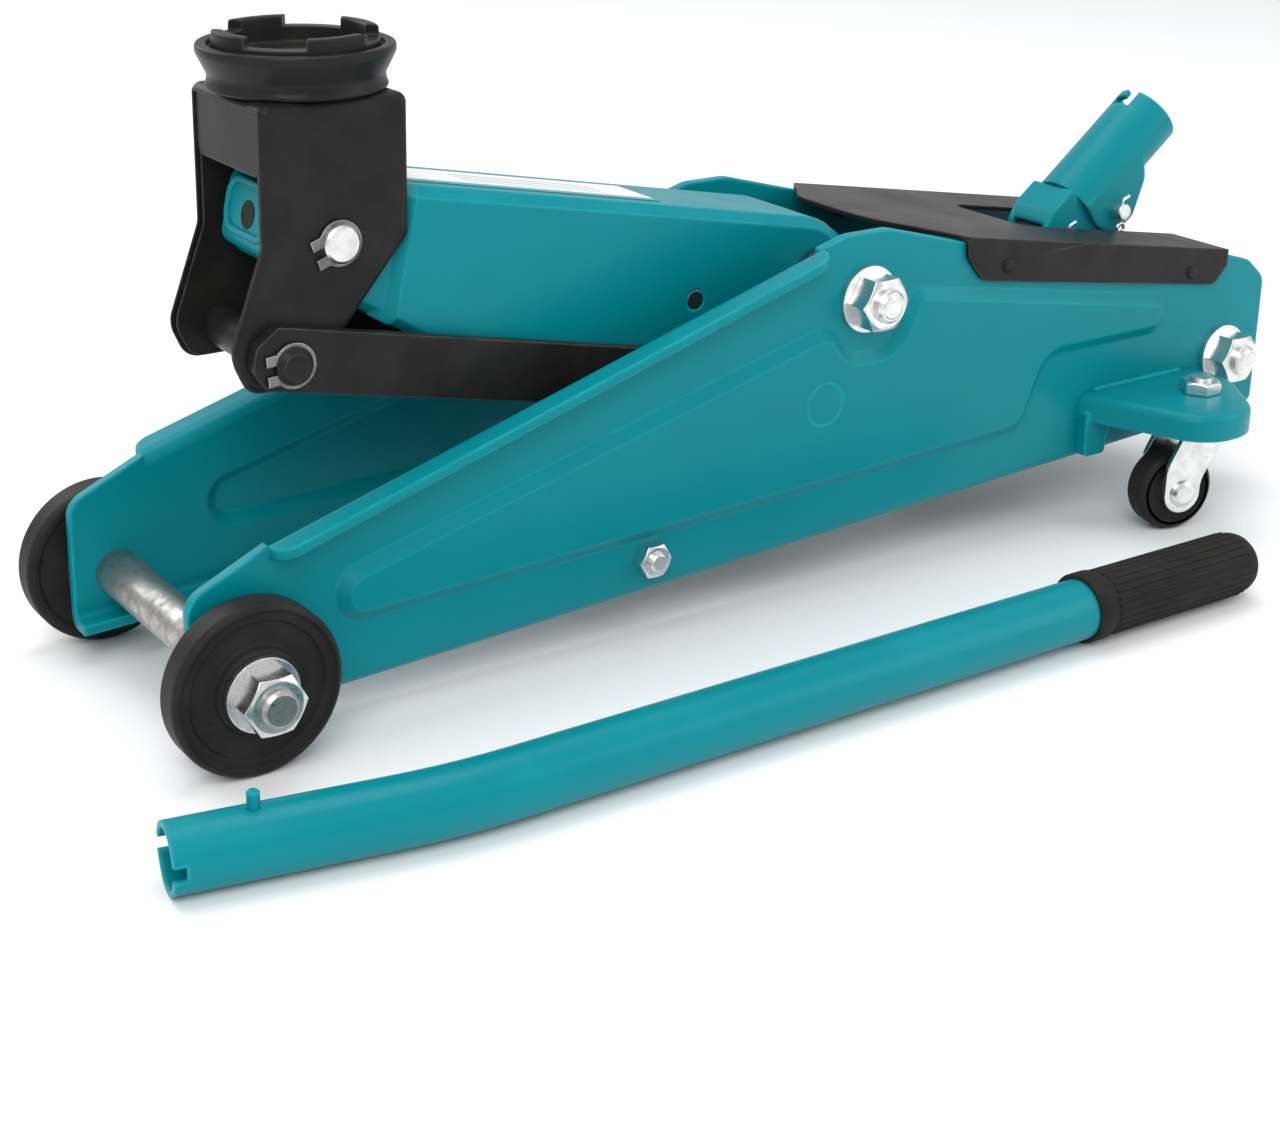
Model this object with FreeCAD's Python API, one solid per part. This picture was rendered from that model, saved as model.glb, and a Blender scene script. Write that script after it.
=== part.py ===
import FreeCAD, Part
import math
import os

V = FreeCAD.Vector

# Hydraulic trolley jack with its separate handle. Millimetres.
# x runs from the front axle to the handle end, y from the left side to the right, z up from the floor.
# The arm is drawn part way up, and every size below can be set by itself.

# Running gear
wheel_dia = 65.0
wheel_width = 13.8
wheel_gap = 0.4                # side play of a front wheel
caster_wheel_dia = 38.0
caster_wheel_width = 15.0
caster_trail = 11.5
caster_stem_x = 462.0
caster_stem_out = 27.0         # the stem outside the side plate
caster_turn = 166.0            # degrees, the way the casters point at rest
caster_shelf_z = 63.0
caster_crown_drop = 12.6       # the fork's crown below the shelf's top
caster_stem_dia = 10.0
caster_axle_dia = 8.0
caster_nut_flats = 16.0
caster_nut_height = 5.5
running_play = 0.06            # radial play of wheels, pins and bushes that turn

# Threads and fasteners
stud_dia = 14.0
nut_flats = 21.0
nut_height = 11.0
washer_dia = 28.0
washer_thick = 2.5
thread_beyond_nut = 3.0
small_rod_dia = 8.0
small_nut_flats = 13.0
small_nut_height = 6.5
clip_thick = 1.2

# Frame
plate_thick = 4.0
frame_half_width = 56.0
front_x = -18.0
rear_x = 531.0
front_corner_below = 1.5       # the plate's front corner under the top of the wheel
flange_start_x = 13.2
flange_start_above = 13.1      # and the start of its top lip over it
flange_width = 10.0
foot_width = 13.0
foot_front_z = 12.4
foot_rear_z = 36.4
bend_radius = 6.0
panel_raise = 3.5              # how far the side panel is pressed outwards
panel_slope = 5.0
pivot_x = 284.0
pivot_z = 127.0
pivot_shaft_dia = 20.0
rear_bolt_x = 505.5
rear_bolt_z = 66.8
anchor_x = 177.0
anchor_z = 37.2
front_axle_dia = 18.0

# Lifting arm, its parallel link and the saddle bracket
arm_length = 231.3
arm_rise = 12.0                # degrees above level as drawn
arm_half_width = 26.0
nose_half_width = 22.5
arm_nose = -22.0               # the arm's front end, from the head pin
arm_tail = 29.0                # its rear end, behind the pivot
arm_top_front = 21.5
arm_top_rear = 26.0
arm_skirt = 42.0               # depth of its sides below the line between the pins
arm_nose_round = 12.0
arm_sheet = 3.5
arm_edge_bevel = 4.0
arm_tube_dia = 30.0
spring_hook_from_pivot = 63.3
spring_hook_below = 12.0
flare_start = 26.5             # the arm widens between these, behind the bracket's inner layer
flare_end = 31.0
link_drop = 40.5               # the link's pins below the arm's pins
link_setback = 22.0            # and forward of them
link_bar_height = 23.3
link_bar_up = 1.6              # the bar's middle over its pins
link_bar_thick = 5.0
link_side_gap = 0.3
link_stud_dia = 18.0
link_journal_dia = 11.0
link_bore_play = 0.35          # the linkage is closed here, so this pin has room
bracket_half_width = 29.3
bracket_sheet = 3.0
bracket_top_z = 226.5
bracket_front = 29.0
bracket_rear = 29.5
head_pin_dia = 14.2
lower_pin_dia = 14.2
saddle_rim_dia = 71.6
saddle_height = 21.0
saddle_stem_dia = 22.0
saddle_gap = 0.3
saddle_turn = 48.7             # degrees, where the first notch points
horn_radius = 45.0
horn_angle = 9.9               # degrees, behind straight down as drawn
horn_thick = 6.0
horn_gap = 28.0
horn_pin_dia = 12.0
roller_dia = 16.0

# Hydraulic unit
ram_dia = 22.0
ram_head_dia = 25.0
ram_head_thick = 10.0
ram_gap = 0.4                  # between the ram's head and the roller
ram_z = 87.0
cylinder_dia = 40.0
cylinder_bore = 28.0
reservoir_dia = 62.0
reservoir_wall = 3.0
gland_x = 335.0
block_x = 425.0
block_length = 91.0
block_half_width = 31.0
block_top_z = 100.0
release_y = -17.0
release_z = 86.0
pump_dia = 12.0
pump_roller_dia = 16.0
lever_cheek = 2.8
lever_gap = 0.3                # between the socket's ears and the lever inside them
pump_gap = 1.0                 # between the pump roller and the plunger's cap

# Handle socket
socket_rise = 38.0             # degrees above level as drawn
lever_pivot_x = 441.0
lever_pivot_z = 122.0
socket_length = 79.0
roller_pin_along = 30.0
roller_pin_below = 12.0
socket_wall = 2.8
socket_seat = 47.0             # from the lever's pivot to where the handle stops
socket_relief = 0.3            # extra room for the lever below that
lever_pin_dia = 8.0
handle_play = 0.4

# Cover
cover_thick = 2.0
cover_front_x = 337.0
cover_rear_x = 502.0
cover_flange_depth = 18.0
cover_tongue = 27.0
socket_opening_half = 24.0
cover_screw_inset = 24.0       # from either end of the flange
cover_screw_drop = 9.0
cover_screw_dia = 4.0

# Handle
handle_dia = 24.6
handle_wall = 2.0
grip_wall = 1.95
grip_length = 98.0
handle_points = [(-59.7, -126.5), (36.7, -145.0), (399.0, -149.0)]
grip_overhang = 22.0           # the grip's closed end beyond the tube
handle_bend_radius = 260.0
handle_pin_dia = 4.5
handle_pin_from_end = 29.0
handle_pin_proud = 6.0


def angle_point(x, z, length, degrees):
    a = math.radians(degrees)
    return x + length * math.cos(a), z + length * math.sin(a)


def flat(points, place):
    """A face with rounded corners: points are (u, v, corner radius), and place puts u, v in space."""
    starts = []
    ends = []
    mids = []
    count = len(points)
    for i in range(count):
        here = V(points[i][0], points[i][1], 0)
        before = (V(points[i - 1][0], points[i - 1][1], 0) - here).normalize()
        after = (V(points[(i + 1) % count][0], points[(i + 1) % count][1], 0) - here).normalize()
        radius = points[i][2]
        half = before.getAngle(after) / 2
        if radius == 0 or half > math.radians(89.8):
            starts.append(here)
            ends.append(here)
            mids.append(None)
            continue
        reach = radius / math.tan(half)
        middle = (before + after).normalize()
        starts.append(here + before * reach)
        ends.append(here + after * reach)
        mids.append(here + middle * (radius / math.sin(half) - radius))
    edges = []
    for i in range(count):
        if mids[i] is not None:
            arc = Part.Arc(place(starts[i]), place(mids[i]), place(ends[i]))
            edges.append(arc.toShape())
        follow = starts[(i + 1) % count]
        if ends[i].distanceToPoint(follow) > 1e-6:
            edges.append(Part.LineSegment(place(ends[i]), place(follow)).toShape())
    return Part.Face(Part.Wire(edges))


def prism_y(points, y_low, y_high):
    face = flat(points, lambda p: V(p.x, y_low, p.y))
    return face.extrude(V(0, y_high - y_low, 0))


def prism_z(points, z_low, z_high):
    face = flat(points, lambda p: V(p.x, p.y, z_low))
    return face.extrude(V(0, 0, z_high - z_low))


def rod_y(x, z, dia, y_low, y_high):
    return Part.makeCylinder(dia / 2, y_high - y_low, V(x, y_low, z), V(0, 1, 0))


def rod_x(y, z, dia, x_low, x_high):
    return Part.makeCylinder(dia / 2, x_high - x_low, V(x_low, y, z), V(1, 0, 0))


def rod_z(x, y, dia, z_low, z_high):
    return Part.makeCylinder(dia / 2, z_high - z_low, V(x, y, z_low), V(0, 0, 1))


def chamfered_rod_y(x, z, dia, y_low, y_high, size=1.0):
    rod = rod_y(x, z, dia, y_low, y_high)
    rims = [e for e in rod.Edges if isinstance(e.Curve, Part.Circle)]
    return rod.makeChamfer(size, rims)


def turned(points, centre, axis):
    """A solid of revolution: points are (distance along axis, radius, corner radius)."""
    side = V(0, 0, 1) if abs(axis.z) < 0.5 else V(1, 0, 0)
    face = flat(points, lambda p: centre + axis * p.x + side * p.y)
    return face.revolve(centre, axis, 360)


def mirrored(shape):
    return shape.mirror(V(0, 0, 0), V(0, 1, 0))


def pair(shape):
    return Part.makeCompound([shape, mirrored(shape)])


def hex_nut(flats, height, bore, base, axis):
    """A hexagon nut with turned-down corners, standing on base along axis."""
    radius = flats / math.sqrt(3)
    corners = [(radius * math.cos(math.pi * k / 3), radius * math.sin(math.pi * k / 3), 0) for k in range(6)]
    body = flat(corners, lambda p: V(p.x, p.y, 0)).extrude(V(0, 0, height))
    body = body.common(Part.makeCone(flats * 0.46 + height * 1.8, flats * 0.46, height))
    body = body.cut(Part.makeCylinder(bore / 2, height, V(0, 0, 0)))
    body.Placement = FreeCAD.Placement(base, FreeCAD.Rotation(V(0, 0, 1), axis))
    return body


def ring(outer, bore, thick, base, axis):
    body = Part.makeCylinder(outer / 2, thick, base, axis)
    return body.cut(Part.makeCylinder(bore / 2, thick, base, axis))


def e_clip(pin_dia, base, axis, turn=0.0):
    """An open spring clip round a pin's groove, with two prongs beside its mouth."""
    r = pin_dia / 2
    body = Part.makeCylinder(r * 1.2, clip_thick, V(0, 0, 0))
    for low in (-0.8 * r, 0.25 * r):
        prong = Part.makeBox(0.7 * r, 0.55 * r, clip_thick, V(0.8 * r, low, 0))
        body = body.fuse(prong)
    body = body.cut(Part.makeCylinder(r, clip_thick, V(0, 0, 0)))
    body = body.cut(Part.makeBox(2 * r, 0.5 * r, clip_thick, V(0, -0.25 * r, 0)))
    body.rotate(V(0, 0, 0), V(0, 0, 1), turn)
    body.Placement = FreeCAD.Placement(base, FreeCAD.Rotation(V(0, 0, 1), axis)).multiply(body.Placement)
    return body.removeSplitter()


def cotter(x, z, pin_dia, y):
    """A split pin through a clevis pin, with its eye on one side and bent legs on the other."""
    wire = 1.6
    reach = pin_dia / 2 + 1.5
    shank = Part.makeCylinder(wire / 2, 2 * reach, V(x, y, z - reach), V(0, 0, 1))
    eye = Part.makeTorus(2.2, wire / 2, V(x, y, z - reach - 2.2), V(0, 1, 0))
    leg = Part.makeCylinder(wire / 2, 4.5, V(x, y, z + reach), V(1, 0, 0.4))
    return shank.fuse([eye, leg])


# Places worked out from the sizes above
caster_stem_y = frame_half_width + caster_stem_out
caster_crown_z = caster_shelf_z - caster_crown_drop
cover_screw_x = [cover_front_x + cover_screw_inset, cover_rear_x - cover_screw_inset]
front_corner_z = wheel_dia - front_corner_below
flange_start_z = wheel_dia + flange_start_above
grip_dia = handle_dia + 2 * grip_wall
lever_half = handle_dia / 2 + handle_play - lever_gap
lever_lug_half = lever_half - lever_cheek - 0.6
socket_half = handle_dia / 2 + handle_play + socket_wall
spring_hook_along = arm_length - spring_hook_from_pivot
axle_z = wheel_dia / 2
inner_half = frame_half_width - plate_thick
head_x, head_z = angle_point(pivot_x, pivot_z, arm_length, 180 - arm_rise)
link_x = pivot_x - link_setback
link_z = pivot_z - link_drop
lower_x = head_x - link_setback
lower_z = head_z - link_drop
horn_x, horn_z = angle_point(pivot_x, pivot_z, horn_radius, -90 + horn_angle)
flange_end_x = pivot_x - 25.0
flange_end_z = pivot_z + 23.7
cover_front_z = pivot_z + 16.2
cover_rear_z = 115.2
side_stud_out = frame_half_width + washer_thick + nut_height + thread_beyond_nut
hub_start = frame_half_width + 4.0
wheel_inside = hub_start + wheel_gap / 2
wheel_outside = wheel_inside + wheel_width
axle_washer_y = wheel_outside + wheel_gap / 2
axle_end = axle_washer_y + washer_thick + nut_height + thread_beyond_nut
pin_x, pin_z = angle_point(lever_pivot_x, lever_pivot_z, roller_pin_along, socket_rise)
pin_x += roller_pin_below * math.sin(math.radians(socket_rise))
pin_z -= roller_pin_below * math.cos(math.radians(socket_rise))
link_inner = bracket_half_width + link_side_gap
link_outer = link_inner + link_bar_thick


def foot_z(x):
    return foot_front_z + (foot_rear_z - foot_front_z) * (x - front_x) / (rear_x - front_x)


def cover_z(x):
    fraction = (x - cover_front_x) / (cover_rear_x - cover_front_x)
    return cover_front_z + (cover_rear_z - cover_front_z) * fraction


def flange_z(x):
    fraction = (x - flange_start_x) / (flange_end_x - flange_start_x)
    return flange_start_z + (flange_end_z - flange_start_z) * fraction


def arm_place(along, above, y):
    """A point on the arm, from the head pin along to the pivot and above the line between them."""
    a = math.radians(arm_rise)
    return V(head_x + along * math.cos(a) + above * math.sin(a), y,
             head_z - along * math.sin(a) + above * math.cos(a))


def link_place(along, above, y):
    return arm_place(along, above, y) + V(-link_setback, 0, -link_drop)


def socket_place(along, above, y):
    a = math.radians(socket_rise)
    return V(lever_pivot_x + along * math.cos(a) - above * math.sin(a), y,
             lever_pivot_z + along * math.sin(a) + above * math.cos(a))


def slab(points, place, y_low, y_high):
    """A prism across the jack, with its outline in a tilted frame."""
    face = flat(points, lambda p: place(p.x, p.y, y_low))
    return face.extrude(V(0, y_high - y_low, 0))


def panel_outline():
    """The raised panel: a nose in front, a round dip under the main nut and a lobe behind it."""
    front = front_x + 57.0
    lobe_end = rear_bolt_x - 42.0
    low_end = pivot_x + 93.0
    dip = pivot_z - 22.4
    return [(front, flange_z(front) - 24.0, 11), (front, foot_z(front) + 25.5, 11),
            (low_end, foot_z(low_end) + 22.5, 14), (low_end + 13.0, pivot_z - 43.0, 12),
            (lobe_end, pivot_z - 43.0, 7.5), (lobe_end, cover_z(lobe_end) - 20.0, 7.5),
            (pivot_x + 26.0, cover_z(pivot_x + 26.0) - 19.5, 8), (pivot_x + 13.0, dip, 12),
            (pivot_x - 8.0, dip, 10), (pivot_x - 19.0, pivot_z - 7.5, 12)]


def panel(y_base):
    """The panel as a loft from its foot at y_base out to its crown."""
    foot = flat(panel_outline(), lambda p: V(p.x, y_base, p.y))
    crown = foot.OuterWire.makeOffset2D(-panel_slope)
    crown.translate(V(0, -panel_raise, 0))
    return Part.makeLoft([foot.OuterWire, crown], True, True)


def side_plate():
    outer = -frame_half_width
    inner = -inner_half
    step = bend_radius
    outline = [(front_x, foot_z(front_x) + step, 0), (front_x, front_corner_z, 10),
               (flange_start_x, flange_start_z, 0), (flange_start_x, flange_start_z - step, 0),
               (flange_end_x, flange_end_z - step, 0), (flange_end_x, flange_end_z, 0),
               (pivot_x - 11.0, pivot_z + 27.6, 12), (pivot_x + 10.5, pivot_z + 27.6, 14),
               (cover_front_x, cover_front_z, 25), (rear_x - 29.0, cover_rear_z, 30),
               (rear_x - 12.0, cover_rear_z - 5.0, 8), (rear_x, cover_rear_z - 15.0, 8),
               (rear_x, foot_z(rear_x) + step, 0)]
    plate = prism_y(outline, outer, inner)
    foot_face = flat([(outer, step, 0), (outer, 0, bend_radius), (outer + foot_width, 0, 0),
                      (outer + foot_width, plate_thick, 0), (inner, plate_thick, bend_radius - plate_thick),
                      (inner, step, 0)], lambda p: V(front_x, p.x, foot_front_z + p.y))
    foot = foot_face.extrude(V(rear_x - front_x, 0, foot_rear_z - foot_front_z))
    lip_face = flat([(inner, -step, 0), (inner, 0, bend_radius), (outer - flange_width, 0, 0),
                     (outer - flange_width, -plate_thick, 0),
                     (outer, -plate_thick, bend_radius - plate_thick),
                     (outer, -step, 0)], lambda p: V(flange_start_x, p.x, flange_start_z + p.y))
    lip = lip_face.extrude(V(flange_end_x - flange_start_x, 0, flange_end_z - flange_start_z))
    ends = [e for e in lip.Edges if len(e.Vertexes) == 2 and abs(e.Length - plate_thick) < 0.01
            and abs(e.Vertexes[0].Y - (outer - flange_width)) < 0.01]
    lip = lip.makeFillet(flange_width * 0.8, ends)
    boss = rod_y(0, axle_z, stud_dia + 10, -hub_start, outer)
    plate = plate.fuse([foot, lip, boss, panel(outer)]).removeSplitter()
    plate = plate.cut(panel(inner))
    for x, z, dia in [(0, axle_z, stud_dia), (pivot_x, pivot_z, stud_dia),
                      (rear_bolt_x, rear_bolt_z, stud_dia),
                      (anchor_x, anchor_z, small_rod_dia), (link_x, link_z, link_stud_dia)]:
        plate = plate.cut(rod_y(x, z, dia, outer - 10, inner + 1))
    for x in cover_screw_x:
        plate = plate.cut(rod_y(x, cover_z(x) - cover_screw_drop, cover_screw_dia, outer - 1, inner + 1))
    return plate


def stepped_shaft(x, z, dia, end):
    """A shaft that fills the frame's inside, with threaded ends through the plates."""
    middle = rod_y(x, z, dia, -inner_half, inner_half)
    ends = chamfered_rod_y(x, z, stud_dia, -end, end, 1.2)
    return middle.fuse(ends).removeSplitter()


def front_wheel():
    """A plain wheel with a stepped dish in its outer face and a boss towards the frame."""
    r = wheel_dia / 2
    w = wheel_width
    bore = stud_dia / 2 + running_play
    profile = [(0, bore, 0), (0, 15.0, 1), (2.0, 16.0, 0), (2.0, r - 5, 0), (0.8, r - 4, 0), (0.8, r, 2.5),
               (w, r, 2.5),
               (w, r - 2.6, 0.3), (w - 1.4, r - 3.2, 0.3), (w - 1.4, r - 6.2, 0.3), (w - 3.2, r - 7.4, 0.5),
               (w - 3.2, 16.6, 0.5), (w, 15.6, 0.3), (w, bore, 0)]
    return turned(profile, V(0, -wheel_inside, axle_z), V(0, -1, 0))


def caster_shelf():
    """The pressed shelf that carries a caster: a top, a turned-down rim and a deeper front leg."""
    y0 = -frame_half_width
    tip = caster_stem_y + 29.5
    shelf_end = rear_bolt_x - washer_dia / 2 - 1.5
    plan = [(caster_stem_x - 49, y0, 0), (caster_stem_x - 46, y0 - 8, 6), (caster_stem_x - 27, -tip, 22),
            (caster_stem_x + 4, -tip, 26), (caster_stem_x + 27, -caster_stem_y + 3, 18), (shelf_end, y0, 0)]
    thick = 3.0
    depth = 12.0
    inside = flat(plan, lambda p: V(p.x, p.y, caster_shelf_z - depth))
    inner_wire = inside.OuterWire.makeOffset2D(-thick)
    top = prism_z(plan, caster_shelf_z - depth, caster_shelf_z)
    edges = [e for e in top.Edges if e.BoundBox.ZMin > caster_shelf_z - 0.01 and e.BoundBox.YMax < y0 - 0.01]
    top = top.makeFillet(4.0, edges)
    hollow = Part.Face(inner_wire).extrude(V(0, 0, depth - thick))
    open_side = Part.makeBox(shelf_end - 3 * thick - caster_stem_x + 49, thick + 2, depth - thick,
                             V(caster_stem_x - 49 + 1.5 * thick, y0 - thick - 1, caster_shelf_z - depth))
    leg = prism_y([(caster_stem_x - 48.5, caster_shelf_z - 8, 0),
                   (caster_stem_x - 48.5, foot_z(caster_stem_x) + 1, 2),
                   (caster_stem_x - 36, foot_z(caster_stem_x) + 1, 2),
                   (caster_stem_x - 34, caster_shelf_z - 16, 6),
                   (caster_stem_x - 26, caster_shelf_z - 8, 0)], y0 - 6.0, y0)
    shelf = top.cut(hollow).cut(open_side).fuse(leg).removeSplitter()
    return shelf.cut(rod_z(caster_stem_x, -caster_stem_y, caster_stem_dia + 2 * running_play,
                           caster_shelf_z - depth - 1, caster_shelf_z + 1))


def spun(shape):
    """Turns a caster piece, drawn trailing to the rear, to the way it points at rest."""
    turned_shape = shape.copy()
    turned_shape.rotate(V(caster_stem_x, -caster_stem_y, 0), V(0, 0, 1), caster_turn)
    return turned_shape


def caster_fork():
    """Stem, raceway and two straps that lean back to the wheel's axle."""
    sx = caster_stem_x
    sy = -caster_stem_y
    r = caster_wheel_dia / 2
    ax = sx + caster_trail
    half = caster_wheel_width / 2 + 0.6
    strap = 2.4
    outline = [(sx - 11, caster_crown_z, 3), (sx + 11, caster_crown_z, 3), (ax + 9, r + 12, 14),
               (ax + 9, r - 9, 8.8),
               (ax - 9, r - 9, 8.8), (ax - 9, r + 5, 14)]
    block = prism_y(outline, sy - half - strap, sy + half + strap)
    gap = Part.makeBox(80, 2 * half, caster_crown_z - strap, V(sx - 40, sy - half, 0))
    race = rod_z(sx, sy, 25.0, caster_crown_z, caster_shelf_z - 3.3)
    stem = rod_z(sx, sy, caster_stem_dia, caster_crown_z - strap, caster_shelf_z + caster_nut_height + 1.8)
    fork = block.cut(gap).cut(rod_y(ax, r, caster_axle_dia, sy - 20, sy + 20))
    return fork.fuse([race, stem]).removeSplitter()


def caster_axle():
    sy = -caster_stem_y
    ax = caster_stem_x + caster_trail
    z = caster_wheel_dia / 2
    half = caster_wheel_width / 2 + 3.0
    shank = rod_y(ax, z, caster_axle_dia, sy - half, sy + half)
    head = turned([(0, 0, 0), (0, 6.2, 0), (1.0, 6.2, 0.8), (2.2, 4.0, 1.5), (2.2, 0, 0)],
                  V(ax, sy - half, z), V(0, -1, 0))
    other = turned([(0, 0, 0), (0, 6.2, 0), (1.0, 6.2, 0.8), (2.2, 4.0, 1.5), (2.2, 0, 0)],
                   V(ax, sy + half, z), V(0, 1, 0))
    return shank.fuse([head, other]).removeSplitter()


def caster_wheel():
    w = caster_wheel_width
    r = caster_wheel_dia / 2
    bore = caster_axle_dia / 2 + running_play
    profile = [(-w / 2, bore, 0), (-w / 2, 8.5, 0.5), (-w / 2 + 2, 9.5, 1), (-w / 2 + 2, r - 4.5, 1),
               (-w / 2 + 0.6, r - 3.2, 1),
               (-w / 2 + 0.6, r, 4), (w / 2 - 0.6, r, 4), (w / 2 - 0.6, r - 3.2, 1), (w / 2 - 2, r - 4.5, 1),
               (w / 2 - 2, 9.5, 1), (w / 2, 8.5, 0.5), (w / 2, bore, 0)]
    return turned(profile, V(caster_stem_x + caster_trail, -caster_stem_y, r), V(0, 1, 0))


def cover_plate():
    """A sloping top with a rounded tongue in front, flanges over the plates and a slot for the socket."""
    t = cover_thick
    half = frame_half_width + 0.1 + t
    fx = cover_front_x
    rx = cover_rear_x
    plan = [(rx, half, 0), (fx, half, 4), (fx - 4, inner_half - 2, 10), (fx - cover_tongue, 22, 25),
            (fx - cover_tongue, -22, 25), (fx - 4, -inner_half + 2, 10), (fx, -half, 4), (rx, -half, 0),
            (rx, -socket_opening_half, 0), (lever_pivot_x - 38, -socket_opening_half, 8),
            (lever_pivot_x - 38, socket_opening_half, 8), (rx, socket_opening_half, 0)]
    tall = prism_z(plan, 0, 300)
    low_x = fx - cover_tongue - 5
    band = prism_y([(low_x, cover_z(low_x) + 0.6, 0), (low_x, cover_z(low_x) + 0.6 + t, 0),
                    (rx + 5, cover_z(rx + 5) + 0.6 + t, 0), (rx + 5, cover_z(rx + 5) + 0.6, 0)], -80, 80)
    top = tall.common(band)
    drop = cover_flange_depth
    side = prism_y([(fx, cover_z(fx) + 0.6 + t, 3), (rx, cover_z(rx) + 0.6 + t, 1.5),
                    (rx, cover_z(rx) - 5, 3),
                    (rx - 8, cover_z(rx) - drop + 5, 5), (fx + 10, cover_z(fx + 10) - drop + 2, 5),
                    (fx + 1, cover_z(fx) - drop + 11, 5)], -half, -half + t)
    cover = top.fuse([side, mirrored(side)]).removeSplitter()
    for x in cover_screw_x:
        cover = cover.cut(rod_y(x, cover_z(x) - cover_screw_drop, cover_screw_dia, -80, 80))
    return cover


def cover_screw(x):
    y = -frame_half_width - 0.1 - cover_thick
    z = cover_z(x) - cover_screw_drop
    head = turned([(0, 0, 0), (0, 3.0, 0), (0.7, 2.9, 0.5), (1.3, 1.8, 0.8), (1.3, 0, 0)], V(x, y, z),
                  V(0, -1, 0))
    return head.fuse(rod_y(x, z, cover_screw_dia, y, -inner_half + 3)).removeSplitter()


def arm_plan(inset):
    """The arm from above: narrow between the bracket's plates and wide behind them."""
    front = arm_nose + inset
    rear = arm_length + arm_tail - inset
    narrow = nose_half_width - inset
    wide = arm_half_width - inset
    return [(front, -narrow), (flare_start, -narrow), (flare_end, -wide), (rear, -wide),
            (rear, wide), (flare_end, wide), (flare_start, narrow), (front, narrow)]


def arm_top(along):
    return arm_top_front + (arm_top_rear - arm_top_front) * (along - arm_nose) / (arm_length - 4 - arm_nose)


def arm_side(inset, is_open):
    """The arm from the side, drawn smaller by inset; the inside is open below."""
    front = arm_nose + inset
    rear = arm_length + arm_tail - inset
    top = [(front, arm_top_front - inset, arm_nose_round - inset), (arm_length - 4, arm_top_rear - inset, 25),
           (rear, 10 - inset, 8)]
    if is_open:
        return top + [(rear, -80, 0), (front, -80, 0)]
    return top + [(rear, -9.5, 10), (arm_length + 4, -26, 16), (arm_length - 52, -arm_skirt, 14),
                  (62, -arm_skirt, 10),
                  (18, -26, 8), (-12, -15.5, 6), (front, -9.5, 6)]


def arm_body(inset, is_open):
    corners = [arm_place(along, -90, y) for along, y in arm_plan(inset)]
    column = Part.Face(Part.makePolygon(corners + corners[:1])).extrude(arm_place(0, 180,
                                                                                  0) - arm_place(0, 0, 0))
    return column.common(slab(arm_side(inset, is_open), arm_place, -70, 70))


def lift_arm():
    """A pressed channel, open below, that widens behind the bracket's inner layer."""
    outer = arm_body(0, False)
    ahead = arm_place(1, 0, 0) - arm_place(0, 0, 0)
    up = arm_place(0, 1, 0) - arm_place(0, 0, 0)
    edges = []
    for e in outer.Edges:
        middle = e.valueAt((e.FirstParameter + e.LastParameter) / 2)
        local = middle - arm_place(0, 0, 0)
        under_top = arm_top(local.dot(ahead)) - local.dot(up)
        if abs(under_top) < 0.05 and abs(middle.y) > nose_half_width - 0.5:
            edges.append(e)
    outer = outer.makeChamfer(arm_edge_bevel, edges)
    arm = outer.cut(arm_body(arm_sheet, True))
    arm = arm.cut(rod_y(pivot_x, pivot_z, arm_tube_dia, -80, 80))
    arm = arm.cut(rod_y(head_x, head_z, head_pin_dia + 2 * running_play, -80, 80))
    hook = arm_place(spring_hook_along, -spring_hook_below, 0)
    return arm.cut(rod_y(hook.x, hook.z, small_rod_dia, -80, 80))


def lift_horn():
    """A plate from the pivot tube down to the roller pin."""
    centre = V(pivot_x, -horn_gap / 2 - horn_thick, pivot_z)
    face_round = Part.makeCylinder(17.2, horn_thick, centre, V(0, 1, 0))
    tip = Part.makeCylinder(horn_pin_dia / 2 + 3.0, horn_thick, V(horn_x, centre.y, horn_z), V(0, 1, 0))
    down = V(horn_x - pivot_x, 0, horn_z - pivot_z).normalize()
    side = V(-down.z, 0, down.x)
    a = V(pivot_x, centre.y, pivot_z)
    b = V(horn_x, centre.y, horn_z)
    tip_half = horn_pin_dia / 2 + 2.9
    points = [a + side * 16.5, b + side * tip_half, b - side * tip_half, a - side * 16.5, a + side * 16.5]
    web = Part.Face(Part.makePolygon(points)).extrude(V(0, horn_thick, 0))
    horn = web.fuse([face_round, tip]).removeSplitter()
    horn = horn.cut(rod_y(pivot_x, pivot_z, arm_tube_dia, -60, 60))
    return horn.cut(rod_y(horn_x, horn_z, horn_pin_dia, -60, 60))


def bracket_outline():
    """Side view of the bracket's outer layer, with a lobe in front round the lower pin."""
    return [(head_x - bracket_front, bracket_top_z, 4), (head_x - bracket_front, head_z - 0.5, 10),
            (lower_x - 20.5, lower_z + 3.0, 12), (lower_x - 14.0, lower_z - 11.5, 9),
            (lower_x + 8.0, lower_z - 11.5, 8), (lower_x + 28.0, lower_z + 11.5, 4),
            (head_x + bracket_rear, head_z - 1.0, 5), (head_x + bracket_rear, bracket_top_z, 4)]


def inner_outline():
    """The inner layer is as wide in front and stops short of the arm's widening at the rear."""
    front = head_x - bracket_front + 1.0
    top = bracket_top_z - bracket_sheet
    return [(front, top, 1), (front, head_z - 0.5, 10), (lower_x - 19.5, lower_z + 3.0, 12),
            (lower_x - 13.0, lower_z - 10.5, 8), (lower_x + 8.0, lower_z - 10.5, 3),
            (lower_x + 12.0, lower_z - 3.0, 3),
            (lower_x + 15.0, lower_z + 7.5, 4), (head_x + 18.0, head_z - 1.0, 5), (head_x + 18.0, top, 1)]


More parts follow.
